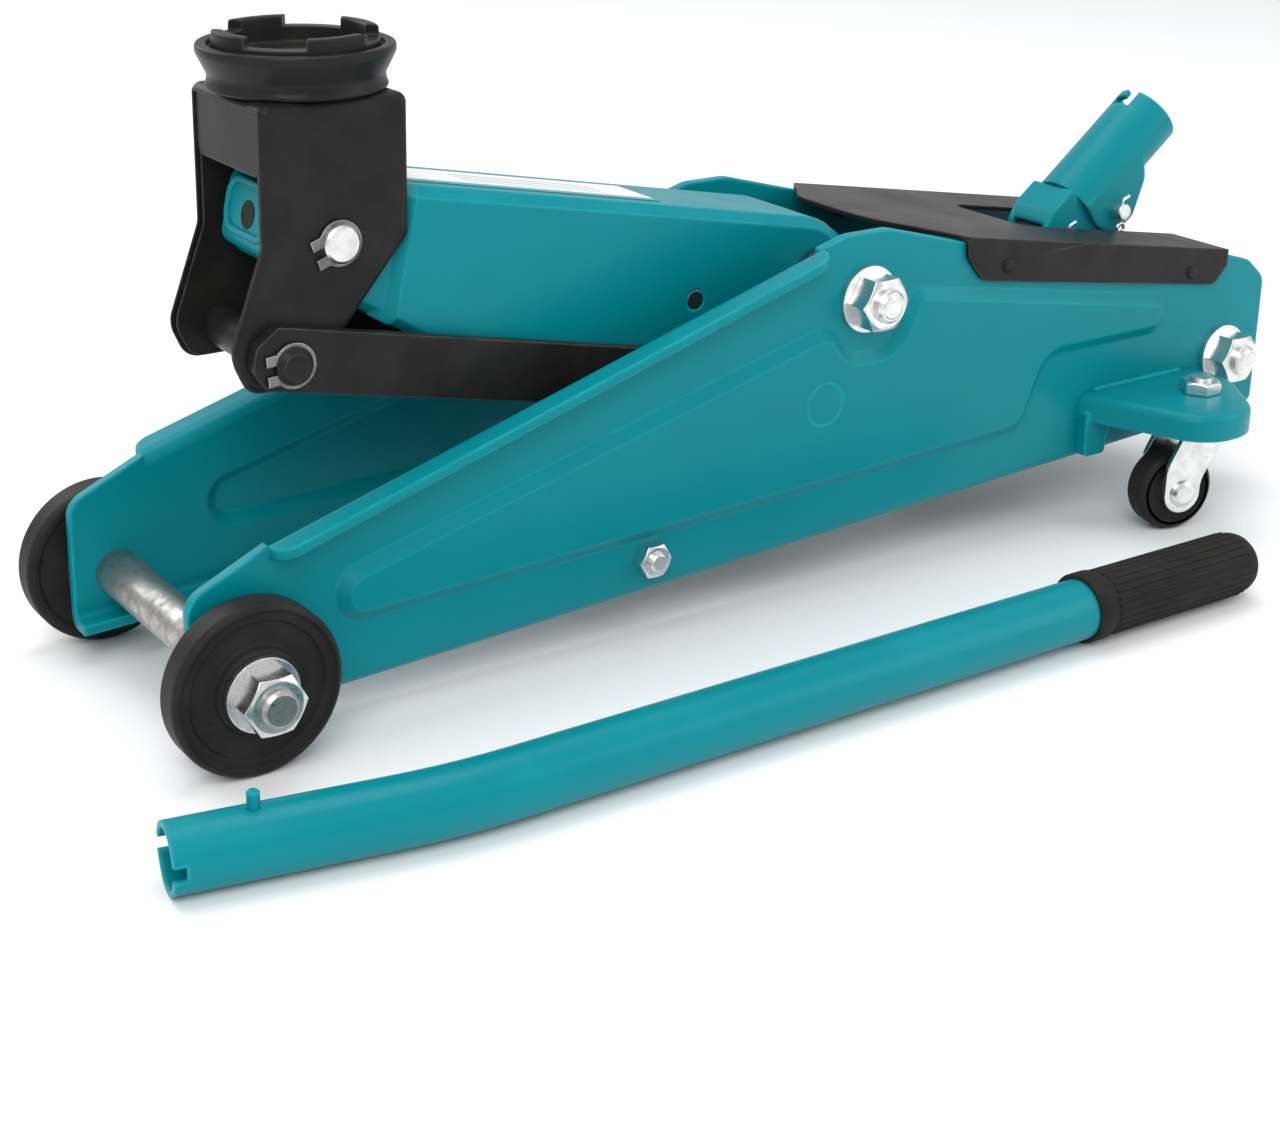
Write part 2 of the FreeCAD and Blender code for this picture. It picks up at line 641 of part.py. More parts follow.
def bracket_layer(outline, half, top, stem_play):
    """One folded layer: two sides and a top, with holes for the two pins and the saddle's stem."""
    t = bracket_sheet
    block = prism_y(outline, -half, half)
    rims = [e for e in block.Edges if e.BoundBox.ZMin > top - 0.01 and e.BoundBox.XLength > 20]
    block = block.makeFillet(3.5, rims)
    hollow = Part.makeBox(400, 2 * (half - t), top - t, V(head_x - 200, -half + t, 0))
    layer = block.cut(hollow)
    layer = layer.cut(rod_y(head_x, head_z, head_pin_dia, -80, 80))
    layer = layer.cut(rod_y(lower_x, lower_z, lower_pin_dia, -80, 80))
    return layer.cut(rod_z(head_x, 0, saddle_stem_dia + 2 * stem_play, top - 20, top + 1))


def bracket_front_plate():
    """The turned-down front of the inner layer, with rounded lower corners."""
    half = bracket_half_width - bracket_sheet - 0.2
    x = head_x - bracket_front + 1.0
    face = flat([(-half, bracket_top_z - bracket_sheet - 0.1, 0),
                 (half, bracket_top_z - bracket_sheet - 0.1, 0),
                 (half, bracket_top_z - 26.0, 6), (-half, bracket_top_z - 26.0, 6)], lambda p: V(x, p.x, p.y))
    return face.extrude(V(bracket_sheet, 0, 0))


def saddle_cup():
    """A cast cup with a flared bowl, a raised crown cut by four notches and a stem."""
    z = bracket_top_z + saddle_gap
    rim = saddle_rim_dia / 2
    h = saddle_height
    profile = [(0, 0, 0), (0, rim - 2.4, 1), (2.6, rim - 3.6, 1.5), (5.0, rim - 3.9, 3),
               (10.0, rim - 1.4, 4), (13.0, rim, 2),
               (16.0, rim, 1.3), (16.0, rim - 4.0, 0.8), (14.0, rim - 4.4, 0.6), (14.0, rim - 5.5, 0.3),
               (h, rim - 6.0, 1.2), (h, rim - 10.4, 1.2), (11.0, rim - 11.2, 1.5), (11.0, 12.5, 0.8),
               (9.5, 11.5, 0.8),
               (9.5, 0, 0)]
    cup = turned(profile, V(head_x, 0, z), V(0, 0, 1))
    for k in range(4):
        notch = Part.makeBox(rim, 22.0, h, V(head_x + 12, -11.0, z + 17.2))
        notch.rotate(V(head_x, 0, z), V(0, 0, 1), 90 * k + saddle_turn)
        cup = cup.cut(notch)
    stem = rod_z(head_x, 0, saddle_stem_dia, z - 16.0, z)
    groove = ring(saddle_stem_dia + 2, saddle_stem_dia - 3, 1.4, V(head_x, 0, z - 13.0), V(0, 0, 1))
    return cup.fuse(stem).removeSplitter().cut(groove)


def link_bar():
    """One flat bar of the parallel link, chamfered in front and round at the rear."""
    low = link_bar_up - link_bar_height / 2
    high = link_bar_up + link_bar_height / 2
    rear = arm_length + 14.0
    bar = slab([(-15.2, 5.2, 4), (-15.2, -3.5, 5), (-8.5, low, 4), (arm_length, low, 0), (rear, low, 11.6),
                (rear, high, 11.6), (-8.0, high, 3)], link_place, -link_outer, -link_inner)
    bar = bar.cut(rod_y(lower_x, lower_z, lower_pin_dia + 2 * link_bore_play, -80, 80))
    return bar.cut(rod_y(link_x, link_z, link_journal_dia + 2 * running_play, -80, 80))


def link_stud():
    """A stub pin let into the side plate, with a smaller end that carries the link."""
    outer = -frame_half_width - panel_raise
    base = rod_y(link_x, link_z, link_stud_dia, outer, -link_outer - 0.3)
    journal = rod_y(link_x, link_z, link_journal_dia, outer, -link_inner + 2.2)
    return base.fuse(journal).removeSplitter()


def ram():
    face_x = horn_x + roller_dia / 2 + ram_gap
    head = Part.makeCylinder(ram_head_dia / 2, ram_head_thick, V(face_x, 0, ram_z), V(1, 0, 0))
    head = head.makeChamfer(1.2, [e for e in head.Edges if isinstance(e.Curve, Part.Circle)])
    rod = rod_x(0, ram_z, ram_dia, face_x + 1, gland_x + 62)
    return head.fuse(rod).removeSplitter()


def hydraulic_block():
    """A cast block bored for the cylinder and the pump, with lugs for the lever and the cross bolt."""
    y = block_half_width
    body = prism_y([(block_x, 52, 4), (block_x + block_length, 52, 8), (block_x + block_length, 96, 8),
                    (block_x + 66, block_top_z, 6), (block_x, block_top_z, 6)], -y, y)
    body = body.fuse(rod_z(pin_x, 0, 20.0, block_top_z - 2, block_top_z + 2.4))
    lug_half = lever_lug_half
    lug = prism_y([(lever_pivot_x - 9, 90, 0), (lever_pivot_x - 9, lever_pivot_z + 8.5, 8.4),
                   (lever_pivot_x + 9, lever_pivot_z + 8.5, 8.4), (lever_pivot_x + 9, 90, 0)], -lug_half,
                   lug_half)
    body = body.fuse(lug).removeSplitter()
    body = body.cut(rod_y(lever_pivot_x, lever_pivot_z, lever_pin_dia, -40, 40))
    body = body.cut(rod_y(rear_bolt_x, rear_bolt_z, stud_dia, -60, 60))
    body = body.cut(rod_x(0, ram_z, cylinder_bore, block_x - 1, block_x + 8))
    body = body.cut(rod_z(pin_x, 0, pump_dia + 2 * running_play, 60, 130))
    return body.cut(rod_x(release_y, release_z, 10.0, block_x + block_length - 30,
                          block_x + block_length + 1))


def release_valve():
    """The release screw, with a slotted head that the handle's notched end turns."""
    end = block_x + block_length
    screw = rod_x(release_y, release_z, 10.0 - 2 * running_play, end - 29, end + 1)
    head = turned([(0.3, 0, 0), (0.3, 7.5, 1), (9, 7.5, 1.5), (9, 0, 0)], V(end, release_y, release_z),
                  V(1, 0, 0))
    bar = rod_z(end + 5, release_y, 3.0, release_z - 9.5, release_z + 9.5)
    return screw.fuse([head, bar]).removeSplitter()


def plunger():
    top = pin_z - pump_roller_dia / 2 - pump_gap
    shank = rod_z(pin_x, 0, pump_dia, 76, top - 2)
    cap = turned([(0, 0, 0), (0, 9.2, 0.5), (3.2, 9.2, 1.0), (3.2, 0, 0)], V(pin_x, 0, top - 3.2), V(0, 0, 1))
    return shank.fuse(cap).removeSplitter()


def pump_spring():
    top = pin_z - pump_roller_dia / 2 - pump_gap - 3.2
    low = block_top_z + 2.4
    return ring(18.5, 14.5, top - low, V(pin_x, 0, low), V(0, 0, 1))


def handle_socket():
    """A tube that takes the handle, spread into two ears at its lower end, with a J slot in its mouth."""
    bore = handle_dia / 2 + handle_play
    out = socket_half
    start = 17.0
    axis = (socket_place(1, 0, 0) - socket_place(0, 0, 0))
    tube = Part.makeCylinder(out, socket_length - start, socket_place(start, 0, 0), axis)
    ears = slab([(start, 4, 0), (start, -10, 6), (22, -20, 6), (36, -22, 8), (52, -12, 8), (58, 0, 0)],
                socket_place, -out, out)
    body = tube.fuse(ears).removeSplitter()
    body = body.cut(Part.makeCylinder(bore, socket_length + 2 - start, socket_place(start - 1, 0, 0), axis))
    body = body.cut(Part.makeCylinder(bore + socket_relief, socket_seat + 1 - start,
                                      socket_place(start - 1, 0, 0), axis))
    body = body.cut(slab([(start - 2, 0, 0), (start - 2, -40, 0), (socket_seat, -40, 0), (socket_seat, 0, 0)],
                         socket_place, -bore - socket_relief, bore + socket_relief))
    slot = slab([(socket_length - 9, 0, 2), (socket_length + 2, 0, 0), (socket_length + 2, 30, 0),
                 (socket_length - 9, 30, 0)],
                socket_place, -3.2, 3.2)
    hook = slab([(socket_length - 9, 0, 2), (socket_length - 3.5, 0, 0), (socket_length - 3.5, 30, 0),
                 (socket_length - 9, 30, 0)],
                socket_place, -3.2, 9.0)
    body = body.cut(slot).cut(hook)
    return body.cut(rod_y(pin_x, pin_z, lever_pin_dia, -40, 40))


def pump_lever():
    """The inner yoke: two cheeks and a bridge, hung on the block's lug."""
    half = lever_half
    t = lever_cheek
    outline = [(-9, 9, 8.5), (-9, -9, 8.5), (6, -12, 6), (24, -21, 6), (38, -20, 7), (38, 2, 4),
               (16, 14, 6), (2, 14, 6)]
    block = slab(outline, socket_place, -half, half)
    hollow = slab([(-20, -40, 0), (44, -40, 0), (44, 11, 0), (-20, 11, 0)], socket_place, -half + t, half - t)
    lever = block.cut(hollow)
    axis = socket_place(1, 0, 0) - socket_place(0, 0, 0)
    wall = Part.makeCylinder(60, 60, socket_place(16.5, 0, 0), axis)
    wall = wall.cut(Part.makeCylinder(half + lever_gap, 60, socket_place(16.5, 0, 0), axis))
    wall = wall.cut(slab([(0, 0, 0), (0, -80, 0), (90, -80, 0), (90, 0, 0)], socket_place, -60, 60))
    lever = lever.cut(wall)
    lever = lever.cut(rod_y(lever_pivot_x, lever_pivot_z, lever_pin_dia + 2 * running_play, -40, 40))
    return lever.cut(rod_y(pin_x, pin_z, lever_pin_dia, -40, 40))


def clevis_pin(x, z, dia, half):
    """A headed pin; its cotter goes through the near end."""
    shank = chamfered_rod_y(x, z, dia, -half - 5.5, half + 0.2, 0.6)
    head = Part.makeCylinder(dia * 0.8, 2.2, V(x, half + 0.2, z), V(0, 1, 0))
    return shank.fuse(head).removeSplitter().cut(Part.makeCylinder(0.8, dia + 4,
                                                                   V(x, -half - 3, z - dia / 2 - 2)))


def handle_path():
    """The tube's axis as it lies: its open end and the wider grip both touch the floor."""
    (ax, ay), (bx, by), (cx, cy) = handle_points
    first = math.hypot(bx - ax, by - ay)
    second = math.hypot(cx - bx, cy - by)
    rise = (grip_dia - handle_dia) / 2 / (first + second + grip_overhang - grip_length)
    low = handle_dia / 2
    return V(ax, ay, low), V(bx, by, low + rise * first), V(cx, cy, low + rise * (first + second))


def handle_tube():
    """A tube with one gentle bend, a notch across its open end and a hole for the locating pin."""
    a, b, c = handle_path()
    first = (a - b).normalize()
    second = (c - b).normalize()
    half = first.getAngle(second) / 2
    reach = handle_bend_radius / math.tan(half)
    p = b + first * reach
    q = b + second * reach
    middle = b + (first + second).normalize() * (handle_bend_radius / math.sin(half) - handle_bend_radius)
    path = Part.Wire([Part.LineSegment(a, p).toShape(), Part.Arc(p, middle, q).toShape(),
                      Part.LineSegment(q, c).toShape()])
    tubes = []
    for radius in (handle_dia / 2, handle_dia / 2 - handle_wall):
        circle = Part.Wire(Part.makeCircle(radius, a, first * -1))
        tubes.append(path.makePipeShell([circle], True, False))
    tube = tubes[0].cut(tubes[1])
    notch = Part.makeBox(9.0, 60.0, 5.0, V(-4.5, -30, -2.5))
    notch.rotate(V(0, 0, 0), V(0, 0, 1), math.degrees(math.atan2(first.y, first.x)))
    notch.translate(a)
    tube = tube.cut(notch)
    pin_at = a - first * handle_pin_from_end
    return tube.cut(Part.makeCylinder(handle_pin_dia / 2, 30, pin_at))


def handle_pin():
    a, b, c = handle_path()
    first = (a - b).normalize()
    base = a - first * handle_pin_from_end + V(0, 0, handle_dia / 2 - handle_wall - 1.5)
    pin = Part.makeCylinder(handle_pin_dia / 2, handle_wall + 1.5 + handle_pin_proud, base)
    tips = [e for e in pin.Edges if isinstance(e.Curve, Part.Circle)]
    return pin.makeChamfer(0.6, tips)


def handle_grip():
    """A closed rubber sleeve with a plain collar and a rounded end."""
    a, b, c = handle_path()
    axis = (c - b).normalize()
    start = c - axis * (grip_length - grip_overhang)
    r = grip_dia / 2
    profile = [(0, handle_dia / 2, 0), (0, r, 1.2), (9.0, r, 0.8), (10.0, r - 0.6, 0.5),
               (grip_length, r - 0.6, 9),
               (grip_length, 0, 0), (grip_length - grip_overhang, 0, 0),
               (grip_length - grip_overhang, handle_dia / 2, 0)]
    return turned(profile, start, axis)


def return_spring(y):
    """Outer shape of one return spring, from the anchor rod to the arm's hook rod."""
    a = V(anchor_x, y, anchor_z)
    b = arm_place(spring_hook_along, -spring_hook_below, y)
    axis = (b - a).normalize()
    reach = (b - a).Length
    coil = ring(13.0, 9.0, reach - 22.0, a + axis * 11.0, axis)
    rods = []
    for end, way in ((a, 1), (b, -1)):
        eye = Part.makeTorus(small_rod_dia / 2 + 1.2, 1.0, end, V(0, 1, 0))
        neck = Part.makeCylinder(1.0, 7.5, end + axis * (way * 5.0), axis * way)
        cap = ring(9.0, 2.0, 1.2, end + axis * (way * 11.0), axis * way)
        rods += [eye, neck, cap]
    return coil.fuse(rods).removeSplitter()


def m14_nut(x, y, z):
    return hex_nut(nut_flats, nut_height, stud_dia, V(x, y, z), V(0, -1, 0))


frame_plate = side_plate()
stations = [(0, axle_washer_y, axle_z), (pivot_x, frame_half_width, pivot_z),
            (rear_bolt_x, frame_half_width, rear_bolt_z)]
washers = [ring(washer_dia, stud_dia, washer_thick, V(x, -y, z), V(0, -1, 0)) for x, y, z in stations]
nuts = [m14_nut(x, -y - washer_thick, z) for x, y, z in stations]
anchor_end = frame_half_width + small_nut_height + 2.0
anchor_nut = hex_nut(small_nut_flats, small_nut_height, small_rod_dia,
                     V(anchor_x, -frame_half_width, anchor_z), V(0, -1, 0))
anchor_rod = chamfered_rod_y(anchor_x, anchor_z, small_rod_dia, -anchor_end, anchor_end, 0.8)
wheel = front_wheel()
shelf = caster_shelf()
caster_nut = hex_nut(caster_nut_flats, caster_nut_height, caster_stem_dia,
                     V(caster_stem_x, -caster_stem_y, caster_shelf_z + 0.3), V(0, 0, 1))
fork = spun(caster_fork())
small_wheel = spun(caster_wheel())
rivet = spun(caster_axle())
bar = link_bar()
tie_low = link_bar_up - link_bar_height / 2
tie = slab([(34, tie_low, 0), (60, tie_low, 0), (60, tie_low + 3.2, 0), (34, tie_low + 3.2, 0)],
           link_place, -link_inner, link_inner)
hook_rod = arm_place(spring_hook_along, -spring_hook_below, 0)
head_pin_end = bracket_half_width + 0.3 + clip_thick + 2.5
lower_pin_end = link_outer + 0.3 + clip_thick + 2.5
head_clip = e_clip(head_pin_dia, V(head_x, -bracket_half_width - 0.3, head_z), V(0, -1, 0), 200)
lower_clip = e_clip(lower_pin_dia, V(lower_x, -link_outer - 0.3, lower_z), V(0, -1, 0), 185)
stud_clip = e_clip(link_journal_dia, V(link_x, -link_inner + 1.5, link_z), V(0, -1, 0), 200)
lower_pin = chamfered_rod_y(lower_x, lower_z, lower_pin_dia, -lower_pin_end, lower_pin_end, 2.0)
spacer_half = bracket_half_width - 2 * bracket_sheet
lower_pin = lower_pin.fuse(rod_y(lower_x, lower_z, lower_pin_dia + 2, -spacer_half,
                                 spacer_half)).removeSplitter()
gland = turned([(0, ram_dia / 2 + running_play, 0), (0, 19.0, 1), (7, 19.0, 1), (7, reservoir_dia / 2, 1.5),
                (12, reservoir_dia / 2, 1),
                (12, reservoir_dia / 2 - reservoir_wall, 0), (16, reservoir_dia / 2 - reservoir_wall, 0),
                (16, ram_dia / 2 + running_play, 0)], V(gland_x, 0, ram_z), V(1, 0, 0))
cylinder = ring(cylinder_dia, cylinder_bore, block_x - gland_x - 16, V(gland_x + 16, 0, ram_z), V(1, 0, 0))
reservoir = ring(reservoir_dia, reservoir_dia - 2 * reservoir_wall, block_x - gland_x - 12,
                 V(gland_x + 12, 0, ram_z), V(1, 0, 0))
filler_at = V(block_x - 30, 0, ram_z + reservoir_dia / 2)
reservoir = reservoir.cut(Part.makeCylinder(5.0, 12, filler_at - V(0, 0, 8)))
filler = turned([(-5, 0, 0), (-5, 5.0, 0.8), (0, 5.0, 0), (0, 7.0, 0.5), (3.0, 6.5, 1), (3.0, 0, 0)],
                filler_at, V(0, 0, 1))
piston = turned([(0, 0, 0), (0, cylinder_bore / 2 - running_play, 1),
                 (12, cylinder_bore / 2 - running_play, 1), (12, 0, 0)],
                V(gland_x + 62, 0, ram_z), V(1, 0, 0))
pump_roller = ring(pump_roller_dia, lever_pin_dia + 2 * running_play, 2 * lever_lug_half,
                   V(pin_x, -lever_lug_half, pin_z), V(0, 1, 0))
horn = lift_horn()
horn_half = horn_gap / 2 + horn_thick
tube_half = inner_half - 0.4
bracket_inner = bracket_layer(inner_outline(), bracket_half_width - bracket_sheet,
                              bracket_top_z - bracket_sheet, running_play)
bracket_inner = bracket_inner.fuse(bracket_front_plate()).removeSplitter()
saddle_ring = e_clip(saddle_stem_dia - 3, V(head_x, 0, bracket_top_z + saddle_gap - 12.9), V(0, 0, 1))

nodes = {
    "side_plate_left": frame_plate,
    "side_plate_right": mirrored(frame_plate),
    "front_axle": stepped_shaft(0, axle_z, front_axle_dia, axle_end),
    "frame_washers": pair(Part.makeCompound(washers)),
    "frame_nuts": pair(Part.makeCompound(nuts)),
    "main_pivot_shaft": stepped_shaft(pivot_x, pivot_z, pivot_shaft_dia, side_stud_out),
    "rear_cross_bolt": chamfered_rod_y(rear_bolt_x, rear_bolt_z, stud_dia, -side_stud_out, side_stud_out,
                                       1.2),
    "spring_anchor_rod": anchor_rod,
    "anchor_rod_nuts": pair(anchor_nut),
    "link_pivot_studs": pair(link_stud()),
    "link_stud_clips": pair(stud_clip),
    "caster_shelf_left": shelf,
    "caster_shelf_right": mirrored(shelf),
    "cover_plate": cover_plate(),
    "cover_screws": Part.makeCompound([pair(cover_screw(x)) for x in cover_screw_x]),
    "hydraulic_block": hydraulic_block(),
    "oil_reservoir": reservoir,
    "pressure_cylinder": cylinder,
    "gland_nut": gland,
    "filler_plug": filler,
    "lever_pivot_pin": clevis_pin(lever_pivot_x, lever_pivot_z, lever_pin_dia, lever_half + 0.3),
    "pivot_pin_cotter": cotter(lever_pivot_x, lever_pivot_z, lever_pin_dia, -lever_half - 3.3),
    "lift_arm": lift_arm(),
    "arm_pivot_tube": ring(arm_tube_dia, pivot_shaft_dia + 2 * running_play, 2 * tube_half,
                           V(pivot_x, -tube_half, pivot_z), V(0, 1, 0)),
    "lift_horns": pair(horn),
    "roller_pin": rod_y(horn_x, horn_z, horn_pin_dia, -horn_half - 1, horn_half + 1),
    "head_pin": chamfered_rod_y(head_x, head_z, head_pin_dia, -head_pin_end, head_pin_end, 1.0),
    "spring_hook_rod": rod_y(hook_rod.x, hook_rod.z, small_rod_dia, -arm_half_width, arm_half_width),
    "ram_roller": ring(roller_dia, horn_pin_dia + 2 * running_play, horn_gap - 0.6,
                       V(horn_x, -horn_gap / 2 + 0.3, horn_z), V(0, 1, 0)),
    "bracket_outer": bracket_layer(bracket_outline(), bracket_half_width, bracket_top_z, running_play),
    "bracket_inner": bracket_inner,
    "lower_link_pin": lower_pin,
    "bracket_pin_clips": pair(Part.makeCompound([head_clip, lower_clip])),
    "saddle_cup": saddle_cup(),
    "saddle_ring": saddle_ring,
    "link_frame": bar.fuse([mirrored(bar), tie]).removeSplitter(),
    "ram": ram(),
    "ram_piston": piston,
    "handle_socket": handle_socket(),
    "pump_lever": pump_lever(),
    "pump_roller": pump_roller,
    "lever_roller_pin": clevis_pin(pin_x, pin_z, lever_pin_dia, socket_half),
    "roller_pin_cotter": cotter(pin_x, pin_z, lever_pin_dia, -socket_half - 3),
    "pump_plunger": plunger(),
    "pump_spring": pump_spring(),
    "release_valve": release_valve(),
    "front_wheel_left": wheel,
    "front_wheel_right": mirrored(wheel),
    "caster_nut_left": caster_nut,
    "caster_nut_right": mirrored(caster_nut),
    "caster_fork_left": fork,
    "caster_fork_right": mirrored(fork),
    "caster_axle_left": rivet,
    "caster_axle_right": mirrored(rivet),
    "caster_wheel_left": small_wheel,
    "caster_wheel_right": mirrored(small_wheel),
    "return_springs": Part.makeCompound([return_spring(14.0), return_spring(-14.0)]),
    "handle_tube": handle_tube(),
    "handle_pin": handle_pin(),
    "handle_grip": handle_grip(),
}

# The origin is on the floor, under the middle of everything as drawn, handle included.
whole = Part.makeCompound(list(nodes.values())).optimalBoundingBox(False, False)
origin = V((whole.XMin + whole.XMax) / 2, (whole.YMin + whole.YMax) / 2, 0)
os.makedirs("parts", exist_ok=True)
for name, shape in nodes.items():
    placed = shape.copy()
    placed.translate(origin * -1)
    placed.exportStep("parts/" + name + ".step")
print(len(nodes), "nodes, origin", round(origin.x, 4), round(origin.y, 4), "lowest", round(whole.ZMin, 3))
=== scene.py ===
import bpy
import bmesh
import math
from mathutils import Matrix, Vector


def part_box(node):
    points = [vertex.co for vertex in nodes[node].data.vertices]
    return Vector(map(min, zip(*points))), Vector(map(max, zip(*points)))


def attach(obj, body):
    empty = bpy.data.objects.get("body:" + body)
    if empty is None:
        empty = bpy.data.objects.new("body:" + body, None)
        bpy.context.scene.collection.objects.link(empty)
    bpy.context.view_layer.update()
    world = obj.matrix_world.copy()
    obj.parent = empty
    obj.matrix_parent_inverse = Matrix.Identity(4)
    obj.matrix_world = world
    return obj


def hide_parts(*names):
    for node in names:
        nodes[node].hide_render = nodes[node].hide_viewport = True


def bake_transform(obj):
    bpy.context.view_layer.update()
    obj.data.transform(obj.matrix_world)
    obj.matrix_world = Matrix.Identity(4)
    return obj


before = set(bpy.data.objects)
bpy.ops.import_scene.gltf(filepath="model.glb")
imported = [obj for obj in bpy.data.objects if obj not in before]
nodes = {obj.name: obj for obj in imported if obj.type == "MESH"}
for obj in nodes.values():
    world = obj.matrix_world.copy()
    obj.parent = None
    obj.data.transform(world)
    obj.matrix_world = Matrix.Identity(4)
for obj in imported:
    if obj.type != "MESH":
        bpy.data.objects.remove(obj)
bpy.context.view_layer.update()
print("frame loaded with", len(nodes), "parts")


def middleOf(name):
    low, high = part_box(name)
    return (low + high) / 2


def addNode(tree, kind, inputs=None, **settings):
    node = tree.nodes.new(kind)
    for key, value in settings.items():
        setattr(node, key, value)
    for key, value in (inputs or {}).items():
        if isinstance(value, bpy.types.NodeSocket):
            tree.links.new(value, node.inputs[key])
        else:
            node.inputs[key].default_value = value
    return node


def calc(tree, operation, *values, clamp=False):
    node = addNode(tree, "ShaderNodeMath", operation=operation, use_clamp=clamp)
    for i, value in enumerate(values):
        if isinstance(value, bpy.types.NodeSocket):
            tree.links.new(value, node.inputs[i])
        else:
            node.inputs[i].default_value = value
    return node.outputs[0]


def spread(tree, value, low, high, toLow=0.0, toHigh=1.0):
    node = addNode(tree, "ShaderNodeMapRange",
                   {"From Min": low, "From Max": high, "To Min": toLow, "To Max": toHigh},
                   interpolation_type="SMOOTHSTEP")
    tree.links.new(value, node.inputs["Value"])
    return node.outputs["Result"]


def mixColours(tree, factor, first, second):
    node = addNode(tree, "ShaderNodeMix", data_type="RGBA")
    for index, value in ((0, factor), (6, first), (7, second)):
        if isinstance(value, bpy.types.NodeSocket):
            tree.links.new(value, node.inputs[index])
        elif index == 0:
            node.inputs[index].default_value = value
        else:
            node.inputs[index].default_value = (*value, 1.0)
    return node.outputs[2]


def noiseAt(tree, scale, detail=3.0, roughness=0.55, stretch=(1, 1, 1)):
    spot = addNode(tree, "ShaderNodeTexCoord").outputs["Object"]
    turned = addNode(tree, "ShaderNodeMapping", {"Vector": spot, "Scale": stretch}).outputs[0]
    return addNode(tree, "ShaderNodeTexNoise",
                   {"Vector": turned, "Scale": scale, "Detail": detail,
                    "Roughness": roughness}).outputs["Fac"]


def shaderGroup(name, inputs, outputs):
    tree = bpy.data.node_groups.new(name, "ShaderNodeTree")
    for label, kind, value in inputs:
        socket = tree.interface.new_socket(label, in_out="INPUT", socket_type=kind)
        if value is not None:
            socket.default_value = value
    for label, kind in outputs:
        tree.interface.new_socket(label, in_out="OUTPUT", socket_type=kind)
    return tree, tree.nodes.new("NodeGroupInput"), tree.nodes.new("NodeGroupOutput")


def useGroup(tree, group, **inputs):
    node = tree.nodes.new("ShaderNodeGroup")
    node.node_tree = group
    for key, value in inputs.items():
        if isinstance(value, bpy.types.NodeSocket):
            tree.links.new(value, node.inputs[key])
        else:
            node.inputs[key].default_value = value
    return node.outputs


def makeSoftEdge():
    # rounds the shading of a sharp edge, and gives a mask of where the edges are
    tree, source, result = shaderGroup("softEdge",
                                       [("Radius", "NodeSocketFloat", 0.0008),
                                        ("Breakup", "NodeSocketFloat", 90.0)],
                                       [("Normal", "NodeSocketVector"), ("Edge", "NodeSocketFloat")])
    rounded = addNode(tree, "ShaderNodeBevel", {"Radius": source.outputs["Radius"]}, samples=6)
    plain = addNode(tree, "ShaderNodeNewGeometry")
    dot = addNode(tree, "ShaderNodeVectorMath", {0: rounded.outputs[0], 1: plain.outputs["Normal"]},
                  operation="DOT_PRODUCT")
    bent = calc(tree, "SUBTRACT", 1.0, dot.outputs["Value"])
    spot = addNode(tree, "ShaderNodeTexCoord").outputs["Object"]
    patch = addNode(tree, "ShaderNodeTexNoise",
                    {"Vector": spot, "Scale": source.outputs["Breakup"], "Detail": 4.0})
    edge = calc(tree, "MULTIPLY", spread(tree, bent, 0.01, 0.16),
                spread(tree, patch.outputs["Fac"], 0.3, 0.6, 0.45, 1.0))
    tree.links.new(rounded.outputs[0], result.inputs["Normal"])
    tree.links.new(edge, result.inputs["Edge"])
    return tree


def makeOrangePeel():
    # the faint waviness of sprayed enamel over pressed sheet
    tree, source, result = shaderGroup("orangePeel",
                                       [("Normal", "NodeSocketVector", None),
                                        ("Scale", "NodeSocketFloat", 420.0),
                                                      ("Depth", "NodeSocketFloat", 0.00004)],
                                                      [("Normal", "NodeSocketVector")])
    spot = addNode(tree, "ShaderNodeTexCoord").outputs["Object"]
    fine = addNode(tree, "ShaderNodeTexNoise",
                   {"Vector": spot, "Scale": source.outputs["Scale"], "Detail": 1.5, "Roughness": 0.45})
    broad = addNode(tree, "ShaderNodeTexNoise", {"Vector": spot, "Scale": 38.0, "Detail": 1.0})
    height = calc(tree, "ADD", fine.outputs["Fac"], calc(tree, "MULTIPLY", broad.outputs["Fac"], 4.0))
    bump = addNode(tree, "ShaderNodeBump",
                   {"Height": height, "Distance": source.outputs["Depth"], "Strength": 1.0,
                                            "Normal": source.outputs["Normal"]})
    tree.links.new(bump.outputs[0], result.inputs["Normal"])
    return tree


def makeFineGrain():
    # grain of cast, moulded and powder coated faces
    tree, source, result = shaderGroup("fineGrain",
                                       [("Normal", "NodeSocketVector", None),
                                        ("Scale", "NodeSocketFloat", 900.0),
                                                     ("Depth", "NodeSocketFloat", 0.00008)],
                                       [("Normal", "NodeSocketVector"), ("Mottle", "NodeSocketFloat")])
    spot = addNode(tree, "ShaderNodeTexCoord").outputs["Object"]
    grain = addNode(tree, "ShaderNodeTexNoise",
                    {"Vector": spot, "Scale": source.outputs["Scale"], "Detail": 3.0, "Roughness": 0.6})
    mottle = addNode(tree, "ShaderNodeTexNoise",
                     {"Vector": spot, "Scale": 55.0, "Detail": 4.0, "Roughness": 0.6})
    bump = addNode(tree, "ShaderNodeBump",
                   {"Height": grain.outputs["Fac"], "Distance": source.outputs["Depth"], "Strength": 1.0,
                                            "Normal": source.outputs["Normal"]})
    tree.links.new(bump.outputs[0], result.inputs["Normal"])
    tree.links.new(mottle.outputs["Fac"], result.inputs["Mottle"])
    return tree


